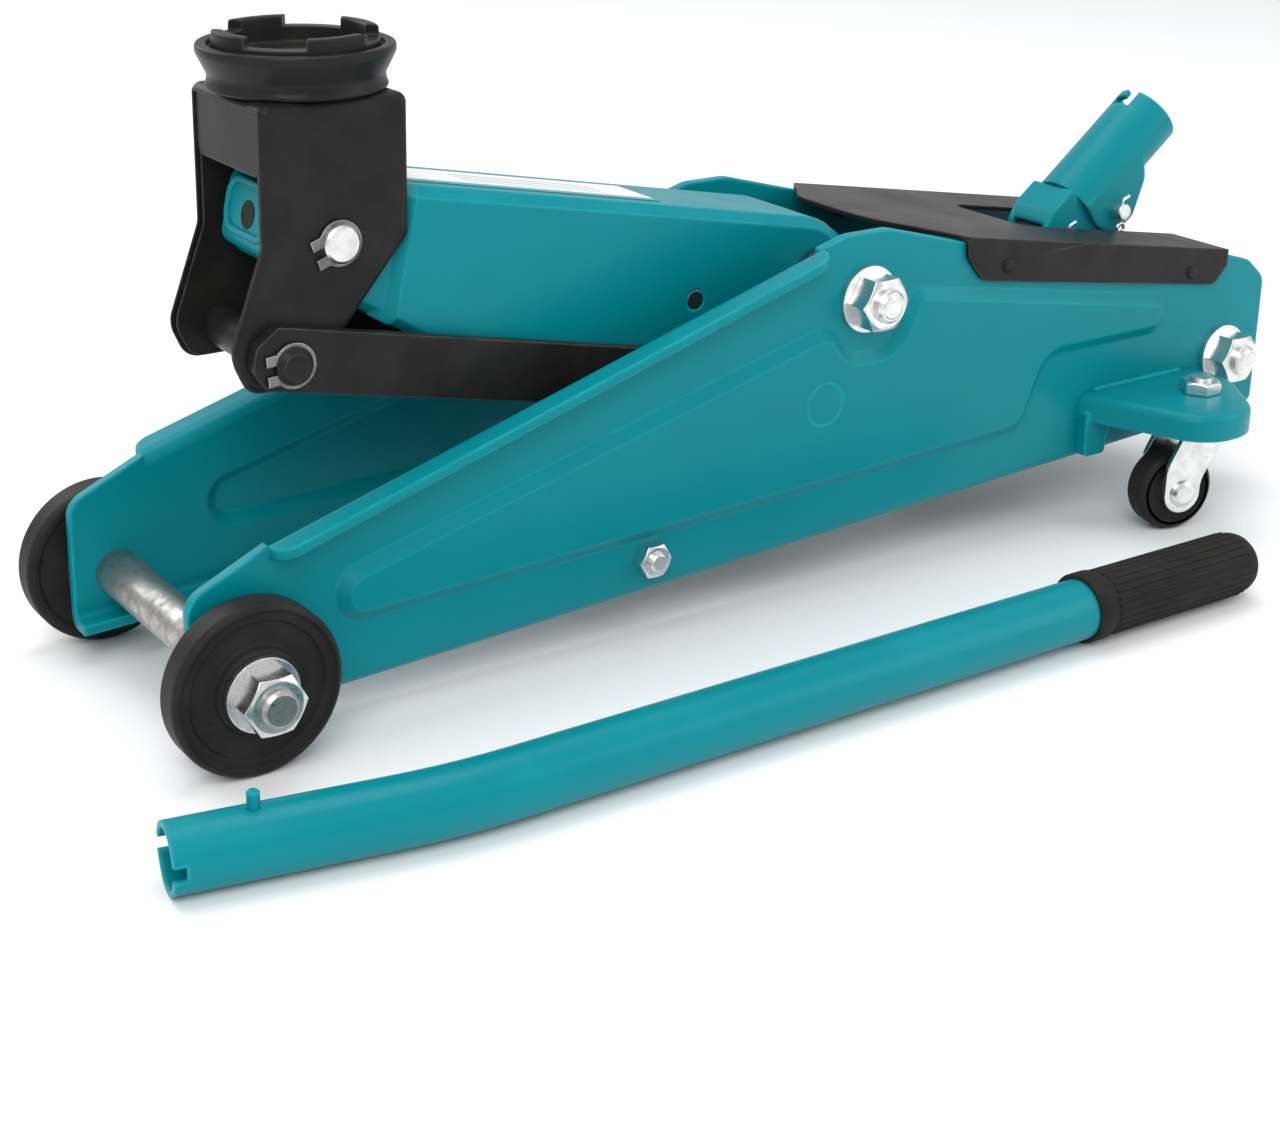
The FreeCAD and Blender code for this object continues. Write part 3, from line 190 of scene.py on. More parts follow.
def makeHandling():
    # smudges, a mask of upward faces and a few fine scratches; the upward mask is settled dust on the dark
    # coats and painted light on the teal paint
    tree, source, result = shaderGroup("handling",
                                       [("Scratches", "NodeSocketFloat", 0.3),
                                        ("Dust", "NodeSocketFloat", 0.1)],
                                       [("Smudge", "NodeSocketFloat"), ("Dust", "NodeSocketFloat"),
                                        ("Scratch", "NodeSocketFloat")])
    spot = addNode(tree, "ShaderNodeTexCoord").outputs["Object"]
    smudge = addNode(tree, "ShaderNodeTexNoise",
                     {"Vector": spot, "Scale": 14.0, "Detail": 5.0, "Roughness": 0.6, "Distortion": 0.6})
    lines = addNode(tree, "ShaderNodeMapping",
                    {"Vector": spot, "Rotation": (0.4, 0.3, 0.9), "Scale": (9.0, 260.0, 260.0)}).outputs[0]
    hair = addNode(tree, "ShaderNodeTexNoise",
                   {"Vector": lines, "Scale": 1.0, "Detail": 2.0, "Roughness": 0.5})
    where = addNode(tree, "ShaderNodeTexNoise", {"Vector": spot, "Scale": 23.0, "Detail": 1.0})
    scratch = calc(tree, "MULTIPLY", spread(tree, hair.outputs["Fac"], 0.70, 0.76),
                   spread(tree, where.outputs["Fac"], 0.5, 0.65))
    scratch = calc(tree, "MULTIPLY", scratch, source.outputs["Scratches"])
    upward = addNode(tree, "ShaderNodeSeparateXYZ",
                     {0: addNode(tree, "ShaderNodeNewGeometry").outputs["Normal"]}).outputs["Z"]
    # upward faces: settled dust on the dark coats, painted light on the teal
    topFacing = calc(tree, "MULTIPLY", spread(tree, upward, 0.3, 1.0),
                   spread(tree, smudge.outputs["Fac"], 0.35, 0.7))
    topFacing = calc(tree, "MULTIPLY", topFacing, source.outputs["Dust"])
    tree.links.new(smudge.outputs["Fac"], result.inputs["Smudge"])
    tree.links.new(topFacing, result.inputs["Dust"])
    tree.links.new(scratch, result.inputs["Scratch"])
    return tree


softEdge = makeSoftEdge()
orangePeel = makeOrangePeel()
fineGrain = makeFineGrain()
handling = makeHandling()


def blankFinish(name):
    material = bpy.data.materials.new(name)
    material.use_nodes = True
    tree = material.node_tree
    tree.nodes.clear()
    shader = tree.nodes.new("ShaderNodeBsdfPrincipled")
    output = tree.nodes.new("ShaderNodeOutputMaterial")
    tree.links.new(shader.outputs[0], output.inputs[0])
    return material, tree, shader


def feed(tree, shader, **inputs):
    names = {"colour": "Base Color", "roughness": "Roughness", "metal": "Metallic", "coat": "Coat Weight",
             "normal": "Normal",
             "coatRoughness": "Coat Roughness", "ior": "IOR", "specular": "Specular IOR Level"}
    for key, value in inputs.items():
        socket = shader.inputs[names[key]]
        if isinstance(value, bpy.types.NodeSocket):
            tree.links.new(value, socket)
        elif key == "colour":
            socket.default_value = (*value, 1.0)
        else:
            socket.default_value = value


tealLook = {
    "deep": (0.0, 0.205, 0.245),
    "bright": (0.0, 0.228, 0.270),
    # edge: painted highlight, a bright teal laid along the edges
    "edge": (0.0, 0.56, 0.62),
    # painted light: a lighter teal for upward faces
    "dust": (0.01, 0.30, 0.34),
    "roughness": 0.33,
    "edgeRadius": 0.0022,
}


def tealEnamel():
    material, tree, shader = blankFinish("tealEnamel")
    edges = useGroup(tree, softEdge, Radius=tealLook["edgeRadius"], Breakup=60.0)
    peel = useGroup(tree, orangePeel, Normal=edges["Normal"], Scale=420.0, Depth=0.00003)
    marks = useGroup(tree, handling, Scratches=0.35, Dust=0.10)
    body = mixColours(tree, spread(tree, marks["Smudge"], 0.2, 0.8), tealLook["deep"], tealLook["bright"])
    # painted highlight: the edges are mixed towards the bright teal
    body = mixColours(tree, calc(tree, "MULTIPLY", edges["Edge"], 0.7), body, tealLook["edge"])
    # painted light: upward faces are mixed towards a lighter teal
    body = mixColours(tree, marks["Dust"], body, tealLook["dust"])
    rough = calc(tree, "ADD", spread(tree, marks["Smudge"], 0.2, 0.8, tealLook["roughness"] - 0.05,
                                     tealLook["roughness"] + 0.09),
                 calc(tree, "MULTIPLY", calc(tree, "ADD", marks["Scratch"], marks["Dust"]), 0.4))
    feed(tree, shader, colour=body, roughness=rough, normal=peel["Normal"], coat=0.06, coatRoughness=0.2,
         specular=0.12)
    return material


def darkCoat(name, base, worn, roughness, grainScale, grainDepth, edgeAmount, coat=0.0, edgeRadius=0.0012,
             specular=0.12):
    material, tree, shader = blankFinish(name)
    edges = useGroup(tree, softEdge, Radius=edgeRadius, Breakup=110.0)
    grain = useGroup(tree, fineGrain, Normal=edges["Normal"], Scale=grainScale, Depth=grainDepth)
    marks = useGroup(tree, handling, Scratches=0.6, Dust=0.05)
    tone = mixColours(tree, spread(tree, grain["Mottle"], 0.3, 0.75), base, [c * 1.55 + 0.002 for c in base])
    tone = mixColours(tree, calc(tree, "MULTIPLY", edges["Edge"], edgeAmount), tone, worn)
    tone = mixColours(tree, calc(tree, "MULTIPLY", marks["Scratch"], 0.35), tone, worn)
    tone = mixColours(tree, marks["Dust"], tone, (0.22, 0.205, 0.18))
    rough = calc(tree, "ADD", spread(tree, marks["Smudge"], 0.2, 0.8, roughness - 0.07, roughness + 0.08),
                 calc(tree, "MULTIPLY", marks["Dust"], 0.5))
    feed(tree, shader, colour=tone, roughness=rough, normal=grain["Normal"], coat=coat, coatRoughness=0.2,
         specular=specular)
    return material


def bareMetal(name, base, tint, roughness, stretch, lineDepth, edgeRadius=0.0006, spotty=0.0, metal=1.0):
    material, tree, shader = blankFinish(name)
    edges = useGroup(tree, softEdge, Radius=edgeRadius, Breakup=140.0)
    lines = noiseAt(tree, 1.0, 2.0, 0.5, stretch)
    bump = addNode(tree, "ShaderNodeBump",
                   {"Height": lines, "Distance": lineDepth, "Strength": 1.0, "Normal": edges["Normal"]})
    marks = useGroup(tree, handling, Scratches=0.8, Dust=0.10)
    cloud = noiseAt(tree, 160.0, 4.0, 0.6)
    tone = mixColours(tree, spread(tree, cloud, 0.35, 0.7), base, tint)
    tone = mixColours(tree, calc(tree, "MULTIPLY", spread(tree, noiseAt(tree, 620.0, 3.0), 0.62, 0.72),
                                 spotty), tone, (0.12, 0.11, 0.10))
    # painted highlight: edges are mixed towards near-white
    tone = mixColours(tree, calc(tree, "MULTIPLY", edges["Edge"], 0.5), tone, (0.93, 0.93, 0.92))
    rough = calc(tree, "ADD", spread(tree, cloud, 0.25, 0.75, roughness - 0.08, roughness + 0.12),
                 calc(tree, "MULTIPLY", calc(tree, "ADD", marks["Scratch"], marks["Dust"]), 0.35))
    feed(tree, shader, colour=tone, roughness=rough, metal=metal, normal=bump.outputs[0])
    return material


finishes = {
    "teal_paint": tealEnamel(),
    "black_paint": darkCoat("blackEnamel", (0.011, 0.0105, 0.010), (0.16, 0.14, 0.115), 0.40, 700.0,
                            0.00004, 0.5, coat=0.05),
    "zinc_plate": bareMetal("brightZinc", (0.80, 0.80, 0.79), (0.66, 0.66, 0.65), 0.26,
                            (420.0, 420.0, 420.0), 0.00002, spotty=0.15),
    "dark_steel": bareMetal("oiledSteel", (0.23, 0.22, 0.21), (0.14, 0.13, 0.125), 0.38,
                            (500.0, 500.0, 500.0), 0.00003, spotty=0.4),
    "wheel_nylon": darkCoat("wheelNylon", (0.014, 0.0135, 0.013), (0.07, 0.065, 0.06), 0.46, 1100.0,
                            0.00005, 0.35),
    "grip_rubber": darkCoat("gripRubber", (0.012, 0.0115, 0.011), (0.055, 0.05, 0.045), 0.62, 1400.0,
                            0.00006, 0.25),
    "hard_chrome": bareMetal("hardChrome", (0.82, 0.83, 0.84), (0.74, 0.75, 0.76), 0.12,
                             (40.0, 900.0, 900.0), 0.00001),
    "cast_body": darkCoat("castIron", (0.05, 0.05, 0.052), (0.20, 0.19, 0.18), 0.55, 520.0, 0.00022, 0.4),
}
axleSteel = bareMetal("axleSteel", (0.50, 0.49, 0.47), (0.30, 0.285, 0.27), 0.36, (300.0, 60.0, 300.0),
                      0.00003, spotty=0.75)

for name, node in nodes.items():
    for index, held in enumerate(node.data.materials):
        label = held.name.split(".")[0] if held else ""
        if label in finishes:
            node.data.materials[index] = finishes[label]
        else:
            print("no finish for", name, label)
nodes["front_axle"].data.materials[0] = axleSteel
print("finishes on", len(nodes), "parts")


def pieceFrom(name, verts, faces, finish, body=None, smooth=True, spots=None):
    mesh = bpy.data.meshes.new(name)
    mesh.from_pydata([tuple(v) for v in verts], [], faces)
    shape = bmesh.new()
    shape.from_mesh(mesh)
    bmesh.ops.remove_doubles(shape, verts=shape.verts, dist=1e-7)
    bmesh.ops.recalc_face_normals(shape, faces=shape.faces)
    shape.to_mesh(mesh)
    shape.free()
    if spots:
        layer = mesh.uv_layers.new(name="UVMap")
        for loop in mesh.loops:
            layer.data[loop.index].uv = spots(mesh.vertices[loop.vertex_index].co)
    mesh.materials.append(finish)
    if smooth:
        mesh.shade_smooth()
        mesh.set_sharp_from_angle(angle=math.radians(40))
    piece = bpy.data.objects.new(name, mesh)
    bpy.context.scene.collection.objects.link(piece)
    if body:
        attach(piece, body)
    return piece


def turnTo(axis):
    return Vector(axis).normalized().to_track_quat("Z", "Y").to_matrix()


def lathed(profile, start, axis, count=48):
    # profile is (along, radius) from one end to the other, with radius 0 at both
    turn = turnTo(axis)
    verts, faces = [], []
    for along, radius in profile:
        for k in range(count):
            angle = 2 * math.pi * k / count
            verts.append(Vector(start) + turn @ Vector((radius * math.cos(angle), radius * math.sin(angle),
                                                        along)))
    for i in range(len(profile) - 1):
        for k in range(count):
            n = (k + 1) % count
            a, b, c, d = i * count + k, i * count + n, (i + 1) * count + n, (i + 1) * count + k
            if profile[i][1] == 0:
                faces.append((a, c, d))
            elif profile[i + 1][1] == 0:
                faces.append((a, b, d))
            else:
                faces.append((a, b, c, d))
    return verts, faces


def swept(path, radius, closed=False, sides=12):
    verts, faces = [], []
    total = len(path)
    side = None
    for i, point in enumerate(path):
        before = path[i - 1] if i or closed else path[i]
        after = path[(i + 1) % total] if i < total - 1 or closed else path[i]
        along = (after - before).normalized()
        if side is None:
            side = along.orthogonal().normalized()
        side = (side - along * side.dot(along)).normalized()
        other = along.cross(side)
        for k in range(sides):
            angle = 2 * math.pi * k / sides
            verts.append(point + (side * math.cos(angle) + other * math.sin(angle)) * radius)
    for i in range(total if closed else total - 1):
        j = (i + 1) % total
        for k in range(sides):
            n = (k + 1) % sides
            faces.append((i * sides + k, i * sides + n, j * sides + n, j * sides + k))
    if not closed:
        faces.append(tuple(range(sides)))
        faces.append(tuple((total - 1) * sides + k for k in range(sides)))
    return verts, faces


def newTree(name, sockets):
    tree = bpy.data.node_groups.new(name, "GeometryNodeTree")
    for label, kind, value in sockets:
        socket = tree.interface.new_socket(label, in_out="INPUT", socket_type=kind)
        if value is not None:
            socket.default_value = value
    tree.interface.new_socket("Geometry", in_out="OUTPUT", socket_type="NodeSocketGeometry")
    return tree, tree.nodes.new("NodeGroupInput"), tree.nodes.new("NodeGroupOutput")


def closeTree(tree, source, result, geometry):
    whole = addNode(tree, "GeometryNodeRealizeInstances", {"Geometry": geometry})
    painted = addNode(tree, "GeometryNodeSetMaterial",
                      {"Geometry": whole.outputs[0], "Material": source.outputs["Finish"]})
    tree.links.new(painted.outputs[0], result.inputs[0])
    return tree


def makeCoilTree():
    tree, source, result = newTree("coil",
                                   [("Turns", "NodeSocketFloat", 8.0), ("Radius", "NodeSocketFloat", 0.005),
                                            ("Length", "NodeSocketFloat", 0.05),
                                            ("Wire", "NodeSocketFloat", 0.001),
                                            ("Finish", "NodeSocketMaterial", None)])
    line = addNode(tree, "GeometryNodeCurveSpiral", {"Resolution": 28, "Rotations": source.outputs["Turns"],
                                                     "Start Radius": source.outputs["Radius"],
                                                     "End Radius": source.outputs["Radius"],
                                                     "Height": source.outputs["Length"]})
    wire = addNode(tree, "GeometryNodeCurvePrimitiveCircle",
                   {"Resolution": 10, "Radius": source.outputs["Wire"]})
    coil = addNode(tree, "GeometryNodeCurveToMesh",
                   {"Curve": line.outputs[0], "Profile Curve": wire.outputs[0], "Fill Caps": True})
    return closeTree(tree, source, result, coil.outputs[0])


def makeRibTree():
    tree, source, result = newTree("ribsAround",
                                   [("Count", "NodeSocketInt", 24), ("Radius", "NodeSocketFloat", 0.013),
                                                  ("Length", "NodeSocketFloat", 0.07),
                                                  ("Rib", "NodeSocketFloat", 0.0008),
                                                  ("Finish", "NodeSocketMaterial", None)])
    circle = addNode(tree, "GeometryNodeMeshCircle",
                     {"Vertices": source.outputs["Count"], "Radius": source.outputs["Radius"]})
    end = addNode(tree, "ShaderNodeCombineXYZ", {"Z": source.outputs["Length"]})
    line = addNode(tree, "GeometryNodeCurvePrimitiveLine", {"End": end.outputs[0]})
    ring = addNode(tree, "GeometryNodeCurvePrimitiveCircle",
                   {"Resolution": 10, "Radius": source.outputs["Rib"]})
    rib = addNode(tree, "GeometryNodeCurveToMesh",
                  {"Curve": line.outputs[0], "Profile Curve": ring.outputs[0], "Fill Caps": True})
    ribs = addNode(tree, "GeometryNodeInstanceOnPoints",
                   {"Points": circle.outputs[0], "Instance": rib.outputs[0]})
    return closeTree(tree, source, result, ribs.outputs[0])


def grown(tree, name, start, axis, finish, **values):
    holder = bpy.data.objects.new(name, bpy.data.meshes.new(name))
    bpy.context.scene.collection.objects.link(holder)
    modifier = holder.modifiers.new(name, "NODES")
    modifier.node_group = tree
    sockets = {item.name: item.identifier for item in tree.interface.items_tree if item.in_out == "INPUT"}
    for key, value in {**values, "Finish": finish}.items():
        modifier[sockets[key]] = value
    holder.update_tag()
    bpy.context.view_layer.update()
    mesh = bpy.data.meshes.new_from_object(holder.evaluated_get(bpy.context.evaluated_depsgraph_get()))
    bpy.data.objects.remove(holder)
    shape = bmesh.new()
    shape.from_mesh(mesh)
    bmesh.ops.recalc_face_normals(shape, faces=shape.faces)
    shape.to_mesh(mesh)
    shape.free()
    mesh.transform(Matrix.Translation(start) @ turnTo(axis).to_4x4())
    if not mesh.materials:
        mesh.materials.append(finish)
    mesh.shade_smooth()
    mesh.set_sharp_from_angle(angle=math.radians(50))
    piece = bpy.data.objects.new(name, mesh)
    bpy.context.scene.collection.objects.link(piece)
    return piece


def joined(name, parts):
    shape = bmesh.new()
    for part in parts:
        shape.from_mesh(part.data)
    mesh = bpy.data.meshes.new(name)
    shape.to_mesh(mesh)
    shape.free()
    mesh.materials.append(parts[0].data.materials[0])
    for part in parts:
        bpy.data.objects.remove(part)
    piece = bpy.data.objects.new(name, mesh)
    bpy.context.scene.collection.objects.link(piece)
    return piece


coilTree = makeCoilTree()
ribTree = makeRibTree()

springLook = {"coilRadius": 0.0052, "wire": 0.0009, "turns": 17, "spacing": 0.028, "reach": 0.011,
              "eye": 0.0052}


def returnSpring(name, y):
    low, high = middleOf("spring_anchor_rod"), middleOf("spring_hook_rod")
    a, b = Vector((low.x, y, low.z)), Vector((high.x, y, high.z))
    way = (b - a).normalized()
    reach = (b - a).length - 2 * springLook["reach"]
    parts = [grown(coilTree, name + "Coil", a + way * springLook["reach"], way, finishes["dark_steel"],
                   Turns=float(springLook["turns"]),
                   Radius=springLook["coilRadius"], Length=reach, Wire=springLook["wire"])]
    side = Vector((0, 1, 0))
    for end, toward in ((a, way), (b, -way)):
        across = side.cross(toward)
        loop = [end + (toward * math.cos(t) + across * math.sin(t)) * springLook["eye"]
                for t in [math.radians(12 + 14 * k) for k in range(25)]]
        tail = end + toward * springLook["reach"] + across * springLook["coilRadius"]
        verts, faces = swept([tail, end + toward * (springLook["eye"] + 0.002) + across * 0.0022] + loop,
                             springLook["wire"])
        parts.append(pieceFrom(name + "Eye", verts, faces, finishes["dark_steel"]))
    spring = joined(name, parts)
    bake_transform(spring)
    return spring


centreY = middleOf("arm_pivot_tube").y
springs = [returnSpring("return_spring_" + label, centreY + side * springLook["spacing"] / 2) for label,
           side in (("left", -1), ("right", 1))]
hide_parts("return_springs")

low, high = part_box("pump_spring")
middle = (low + high) / 2
pumpCoil = grown(coilTree, "pump_spring_coil", Vector((middle.x, middle.y, low.z + 0.001)), (0, 0, 1),
                 finishes["dark_steel"], Turns=6.5,
                 Radius=(high.x - low.x) / 2 - 0.001, Length=high.z - low.z - 0.002, Wire=0.001)
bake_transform(pumpCoil)
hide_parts("pump_spring")
print("springs ready")

gripLook = {"collar": 0.009, "step": 0.0006, "ribs": 26, "rib": 0.00075, "endRound": 0.009,
            "slope": -4.0 / 362.3}


def makeGrip():
    low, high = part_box("handle_grip")
    way = Vector((1, gripLook["slope"], 0)).normalized()
    radius = (high.z - low.z) / 2
    length = (high.x - low.x) / way.x - 2 * radius * abs(way.y)
    start = (low + high) / 2 - way * length / 2
    thin = radius - gripLook["step"]
    soft = gripLook["endRound"]
    collar = gripLook["collar"]
    profile = [(0.0, 0.0), (0.0, radius - 0.0010), (0.0004, radius - 0.0003), (0.0011, radius),
               (collar - 0.0008, radius), (collar, radius - 0.0003),
               (collar + 0.0008, thin - 0.0006), (length - soft, thin - 0.0006)]
    profile += [(length - soft + soft * math.sin(t), thin - 0.0006 - soft + soft * math.cos(t)) for t in
                [math.radians(15 * k) for k in range(1, 7)]]
    profile.append((length, 0.0))
    verts, faces = lathed(profile, start, way, 64)
    sleeve = pieceFrom("grip_sleeve", verts, faces, finishes["grip_rubber"], "handle")
    ribs = grown(ribTree, "grip_ribs", start + way * (collar + 0.0025), way, finishes["grip_rubber"],
                 Count=gripLook["ribs"],
                 Radius=thin - gripLook["rib"], Length=length - collar - soft - 0.0035, Rib=gripLook["rib"])
    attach(ribs, "handle")
    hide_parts("handle_grip")


makeGrip()
print("grip ready")

studLook = {"radius": 0.0066}


def dressStuds():
    for label, node in (("pivot", "main_pivot_shaft"), ("rear", "rear_cross_bolt")):
        low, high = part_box(node)
        middle = (low + high) / 2
        for side, y in (("left", low.y), ("right", high.y)):
            out = Vector((0, -1 if side == "left" else 1, 0))
            r = studLook["radius"]
            profile = [(-0.0005, 0.0), (-0.0005, r - 0.0012), (0.0002, r - 0.0016), (0.0005, r - 0.0024),
                       (0.0004, r - 0.0030),
                       (0.0006, r - 0.0036), (0.0007, 0.001), (0.0007, 0.0)]
            verts, faces = lathed(profile, Vector((middle.x, y, middle.z)), out, 40)
            pieceFrom("stud_face_" + label + "_" + side, verts, faces, finishes["zinc_plate"], "chassis")


dressStuds()


def makeSaddleDisc():
    low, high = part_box("saddle_cup")
    middle = (low + high) / 2
    floor = high.z - 0.0115
    profile = [(-0.0006, 0.0), (-0.0006, 0.0108), (0.0004, 0.0108), (0.0007, 0.0104), (0.0007, 0.0066),
               (0.0013, 0.0061), (0.0013, 0.0)]
    verts, faces = lathed(profile, Vector((middle.x, middle.y, floor)), (0, 0, 1), 64)
    pieceFrom("saddle_disc", verts, faces, finishes["zinc_plate"], "saddle")


makeSaddleDisc()

noseLook = {"ridge": 0.0015, "inset": 0.0062, "corner": 0.0070, "hole": 0.0052}


def dressNose():
    # a pressed ridge round the arm's front face, and a near-black disc in its middle, painted shade where a
    # hole would be
    head, pivot = middleOf("head_pin"), middleOf("arm_pivot_tube")
    ahead = Vector((head.x - pivot.x, 0, head.z - pivot.z)).normalized()
    up = Vector((0, 1, 0)).cross(ahead)
    if up.z < 0:
        up = -up
    side = Vector((0, 1, 0))
    face = head + ahead * 0.0220
    low, high, half = -0.0095 + noseLook["inset"] * 0.7, 0.0215 - 0.0120, 0.0225 - noseLook["inset"]
    r = noseLook["corner"]
    path = []
    for cx, cz, start in ((half - r, high - r * 0.4, 0), (-(half - r), high - r * 0.4, 90),
                          (-(half - r), low + r, 180), (half - r, low + r, 270)):
        for k in range(7):
            angle = math.radians(start + 15 * k)
            path.append(face + side * (cx + r * math.cos(angle)) + up * (cz + r * math.sin(angle)))
    verts, faces = swept(path, noseLook["ridge"], closed=True)
    pieceFrom("nose_ridge", verts, faces, finishes["teal_paint"], "lift_arm")
    r = noseLook["hole"]
    profile = [(-0.0010, 0.0), (-0.0010, r), (0.0002, r), (0.0004, r - 0.0004), (0.0002, r - 0.0012),
               (0.0002, 0.0)]
    verts, faces = lathed(profile, face + up * ((low + high) / 2), ahead, 32)
    # painted shade: a flat near-black disc in place of a hole
    pieceFrom("nose_hole_shade", verts, faces, finishes["oiled_dark"], "lift_arm")


# near-black finish for the painted hole shade
finishes["oiled_dark"] = darkCoat("paintedHoleShade", (0.014, 0.014, 0.014), (0.05, 0.05, 0.05), 0.5, 900.0,
                                  0.00005, 0.3)
dressNose()

weldLook = {"bead": 0.0014, "step": 0.0016}


def weldBead(name, path, body, finish):
    # a run of overlapping rounded drops along a line
    verts, faces = [], []
    # each drop is a little larger or smaller than the last
    for k, spot in enumerate(path):
        ball = bmesh.new()
        bmesh.ops.create_icosphere(ball, subdivisions=2,
                                   radius=weldLook["bead"] * (1.0 + 0.12 * math.sin(2.7 * k)))
        ball.verts.ensure_lookup_table()
        base = len(verts)
        verts += [spot + v.co for v in ball.verts]
        faces += [tuple(base + v.index for v in f.verts) for f in ball.faces]
        ball.free()
    return pieceFrom(name, verts, faces, finish, body)


def weldShelves():
    for side in ("left", "right"):
        low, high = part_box("caster_shelf_" + side)
        y = low.y if side == "right" else high.y
        z = high.z + 0.0002
        count = int((high.x - low.x - 0.02) / weldLook["step"])
        out = 1 if side == "right" else -1
        path = [Vector((low.x + 0.01 + k * weldLook["step"], y + out * 0.0002, z)) for k in range(count)]
        weldBead("shelf_weld_" + side, path, "chassis", finishes["teal_paint"])


weldShelves()

labelLook = {
    "ground": (0.80, 0.81, 0.80),
    "band": (0.0, 0.27, 0.33),
    "accent": (0.45, 0.02, 0.02),
    "thick": 0.00025,
}


def labelFinish():
    # a plain printed panel with no words: a coloured band along one side,
    # an accent block and grey ruled bars
    material, tree, shader = blankFinish("plainLabel")
    place = addNode(tree, "ShaderNodeSeparateXYZ", {0: addNode(tree, "ShaderNodeTexCoord").outputs["UV"]})
    u, v = place.outputs["X"], place.outputs["Y"]
    band = calc(tree, "LESS_THAN", v, 0.17)
    tone = mixColours(tree, band, labelLook["ground"], labelLook["band"])
    block = calc(tree, "MULTIPLY", calc(tree, "LESS_THAN", u, 0.12), calc(tree, "GREATER_THAN", v, 0.17))
    tone = mixColours(tree, block, tone, labelLook["accent"])
    rows = calc(tree, "LESS_THAN", calc(tree, "FRACT", calc(tree, "MULTIPLY", v, 7.0)), 0.35)
    field = calc(tree, "MULTIPLY", calc(tree, "GREATER_THAN", u, 0.35), calc(tree, "LESS_THAN", u, 0.85))
    field = calc(tree, "MULTIPLY", field, calc(tree, "MULTIPLY", calc(tree, "GREATER_THAN", v, 0.3),
                                               calc(tree, "LESS_THAN", v, 0.85)))
    tone = mixColours(tree, calc(tree, "MULTIPLY", rows, field), tone, (0.30, 0.31, 0.32))
    marks = useGroup(tree, handling, Scratches=0.5, Dust=0.08)
    feed(tree, shader, colour=mixColours(tree, marks["Scratch"], tone, (0.5, 0.5, 0.5)), roughness=0.32,
         specular=0.4)
    return material


def makeLabel(name, node, body, corners):
    # four corners of a flat panel, dropped on to the node's upper face
    spots = []
    for x, y in corners:
        hit, place, normal, index = nodes[node].ray_cast(Vector((x, y, 1.0)), Vector((0, 0, -1)))
        if not hit:
            raise RuntimeError(name + " has nothing under it")
        spots.append(place)
    normal = (spots[1] - spots[0]).cross(spots[3] - spots[0]).normalized()
    if normal.z < 0:
        normal = -normal
    base = [spot + normal * 0.00008 for spot in spots]
    top = [spot + normal * (0.00008 + labelLook["thick"]) for spot in spots]
    faces = [(0, 1, 2, 3), (4, 5, 6, 7), (0, 1, 5, 4), (1, 2, 6, 5), (2, 3, 7, 6), (3, 0, 4, 7)]
    across, along = spots[1] - spots[0], spots[3] - spots[0]

    def spotOn(point):
        step = Vector(point) - spots[0]
        return (step.dot(across) / across.length_squared, step.dot(along) / along.length_squared)

    piece = pieceFrom(name, base + top, faces, plainLabel, body, smooth=False, spots=spotOn)
    return piece


plainLabel = labelFinish()
armLabel = {"front": 0.205, "rear": 0.075, "half": 0.0150}
pivotSpot = middleOf("arm_pivot_tube")
labelSpots = [(pivotSpot.x - armLabel[end], centreY + side * armLabel["half"]) for end, side in
              (("front", -1), ("rear", -1), ("rear", 1), ("front", 1))]
makeLabel("arm_label", "lift_arm", "lift_arm", labelSpots)
print("labels ready")

studio = {
    "floorTone": (0.93, 0.935, 0.94),
    "worldStrength": 0.70,
    "lamps": [   # name, place, size, watts, colour
        ("keyLamp", (-1.3, -1.5, 1.9), 1.5, 30.0, (1.0, 0.985, 0.96)),
        ("fillLamp", (1.7, -1.5, 1.0), 1.4, 12.0, (0.94, 0.97, 1.0)),
        ("topLamp", (0.1, 0.3, 2.2), 1.4, 18.0, (1.0, 1.0, 1.0)),
        ("backLamp", (-0.6, 1.9, 1.2), 1.2, 12.0, (0.97, 0.99, 1.0)),
    ],
}


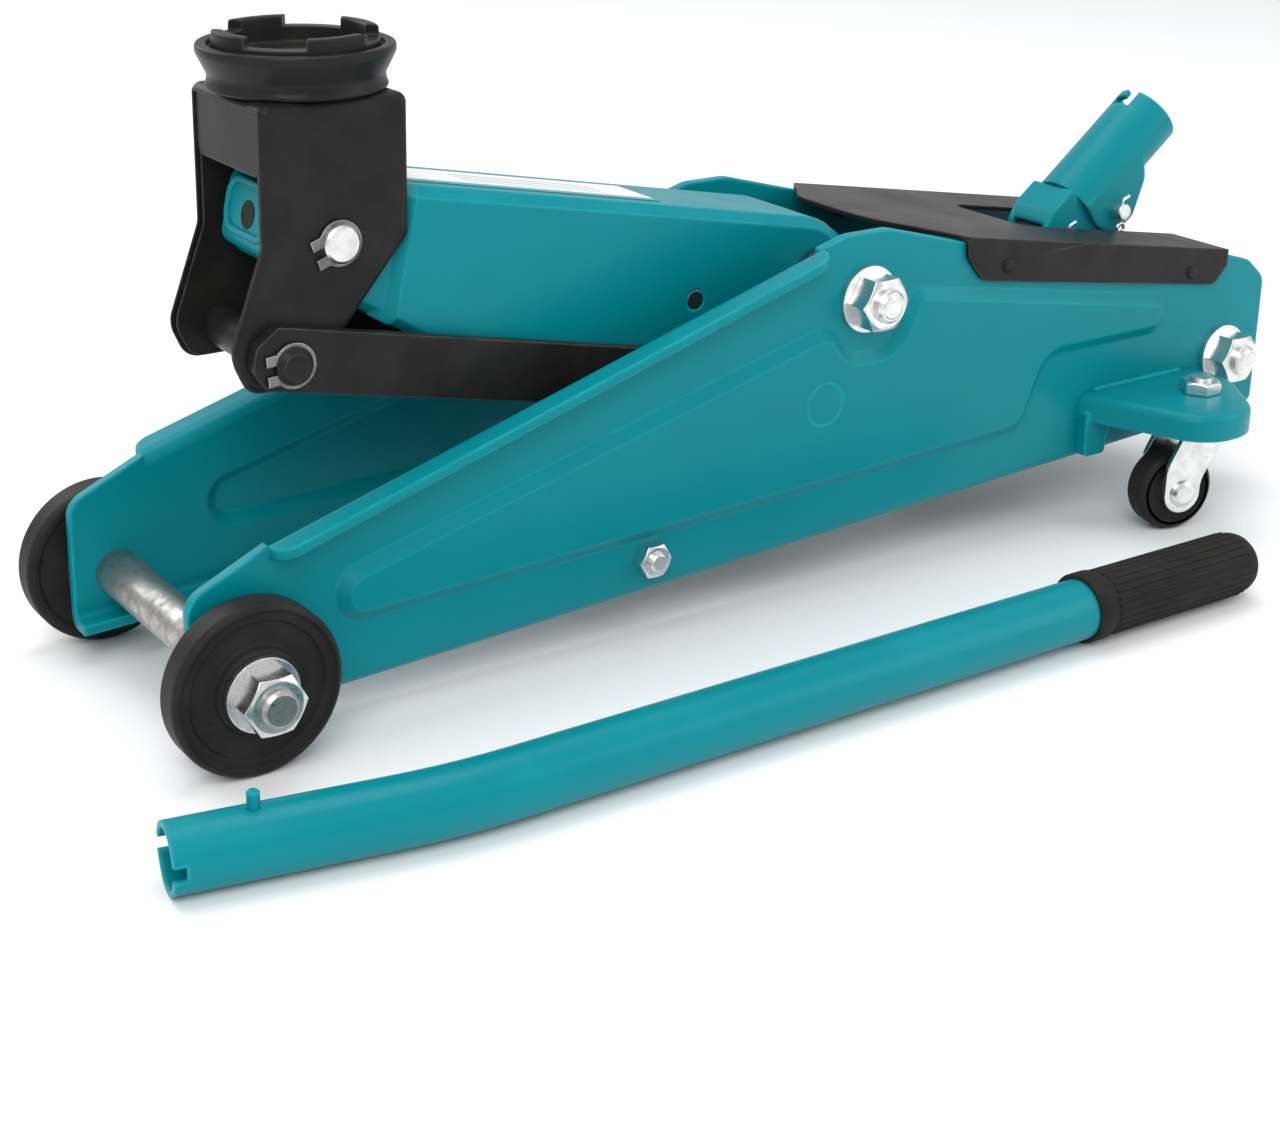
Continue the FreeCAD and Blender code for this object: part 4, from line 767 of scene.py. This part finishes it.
def makeStudio():
    mesh = bpy.data.meshes.new("floor")
    far = 30.0
    mesh.from_pydata([(-far, -far, -0.0002), (far, -far, -0.0002), (far, far, -0.0002),
                      (-far, far, -0.0002)], [], [(0, 1, 2, 3)])
    floor = bpy.data.objects.new("floor", mesh)
    bpy.context.scene.collection.objects.link(floor)
    material, tree, shader = blankFinish("paleFloor")
    grain = noiseAt(tree, 6.0, 3.0)
    tone = mixColours(tree, grain, studio["floorTone"], [c * 0.985 for c in studio["floorTone"]])
    feed(tree, shader, colour=tone, roughness=0.55)
    mesh.materials.append(material)
    for name, place, size, power, colour in studio["lamps"]:
        lamp = bpy.data.lights.new(name, "AREA")
        lamp.shape = "SQUARE"
        lamp.size = size
        lamp.energy = power
        lamp.color = colour
        holder = bpy.data.objects.new(name, lamp)
        holder.location = place
        holder.rotation_euler = (Vector((0, 0, 0.08)) - Vector(place)).to_track_quat("-Z", "Y").to_euler()
        bpy.context.scene.collection.objects.link(holder)
    world = bpy.data.worlds.new("studio")
    world.use_nodes = True
    sky = world.node_tree.nodes["Background"]
    sky.inputs["Color"].default_value = (0.99, 0.995, 1.0, 1.0)
    sky.inputs["Strength"].default_value = studio["worldStrength"]
    bpy.context.scene.world = world


view = {
    "place": (-0.5323, -0.6841, 0.3763),
    "azimuth": -34.31,
    "elevation": 18.42,
    "roll": 0.77,
    "lens": 62.3,
    "shift": (0.0397, -0.146),
}


def makeCamera():
    a, e, roll = (math.radians(view[key]) for key in ("azimuth", "elevation", "roll"))
    back = Vector((math.sin(a) * math.cos(e), -math.cos(a) * math.cos(e), math.sin(e)))
    right = (-back).cross(Vector((0, 0, 1))).normalized()
    up = right.cross(-back)
    side = right * math.cos(roll) + up * math.sin(roll)
    rise = up * math.cos(roll) - right * math.sin(roll)
    turn = Matrix((side, rise, back)).transposed().to_4x4()
    lens = bpy.data.cameras.new("camera")
    lens.lens = view["lens"]
    lens.sensor_width = 36.0
    lens.sensor_fit = "HORIZONTAL"
    lens.shift_x, lens.shift_y = view["shift"]
    lens.clip_end = 100.0
    camera = bpy.data.objects.new("camera", lens)
    camera.matrix_world = Matrix.Translation(view["place"]) @ turn
    bpy.context.scene.collection.objects.link(camera)
    bpy.context.scene.camera = camera
    bpy.context.scene.view_settings.view_transform = "Standard"


makeStudio()
makeCamera()
print("studio ready")
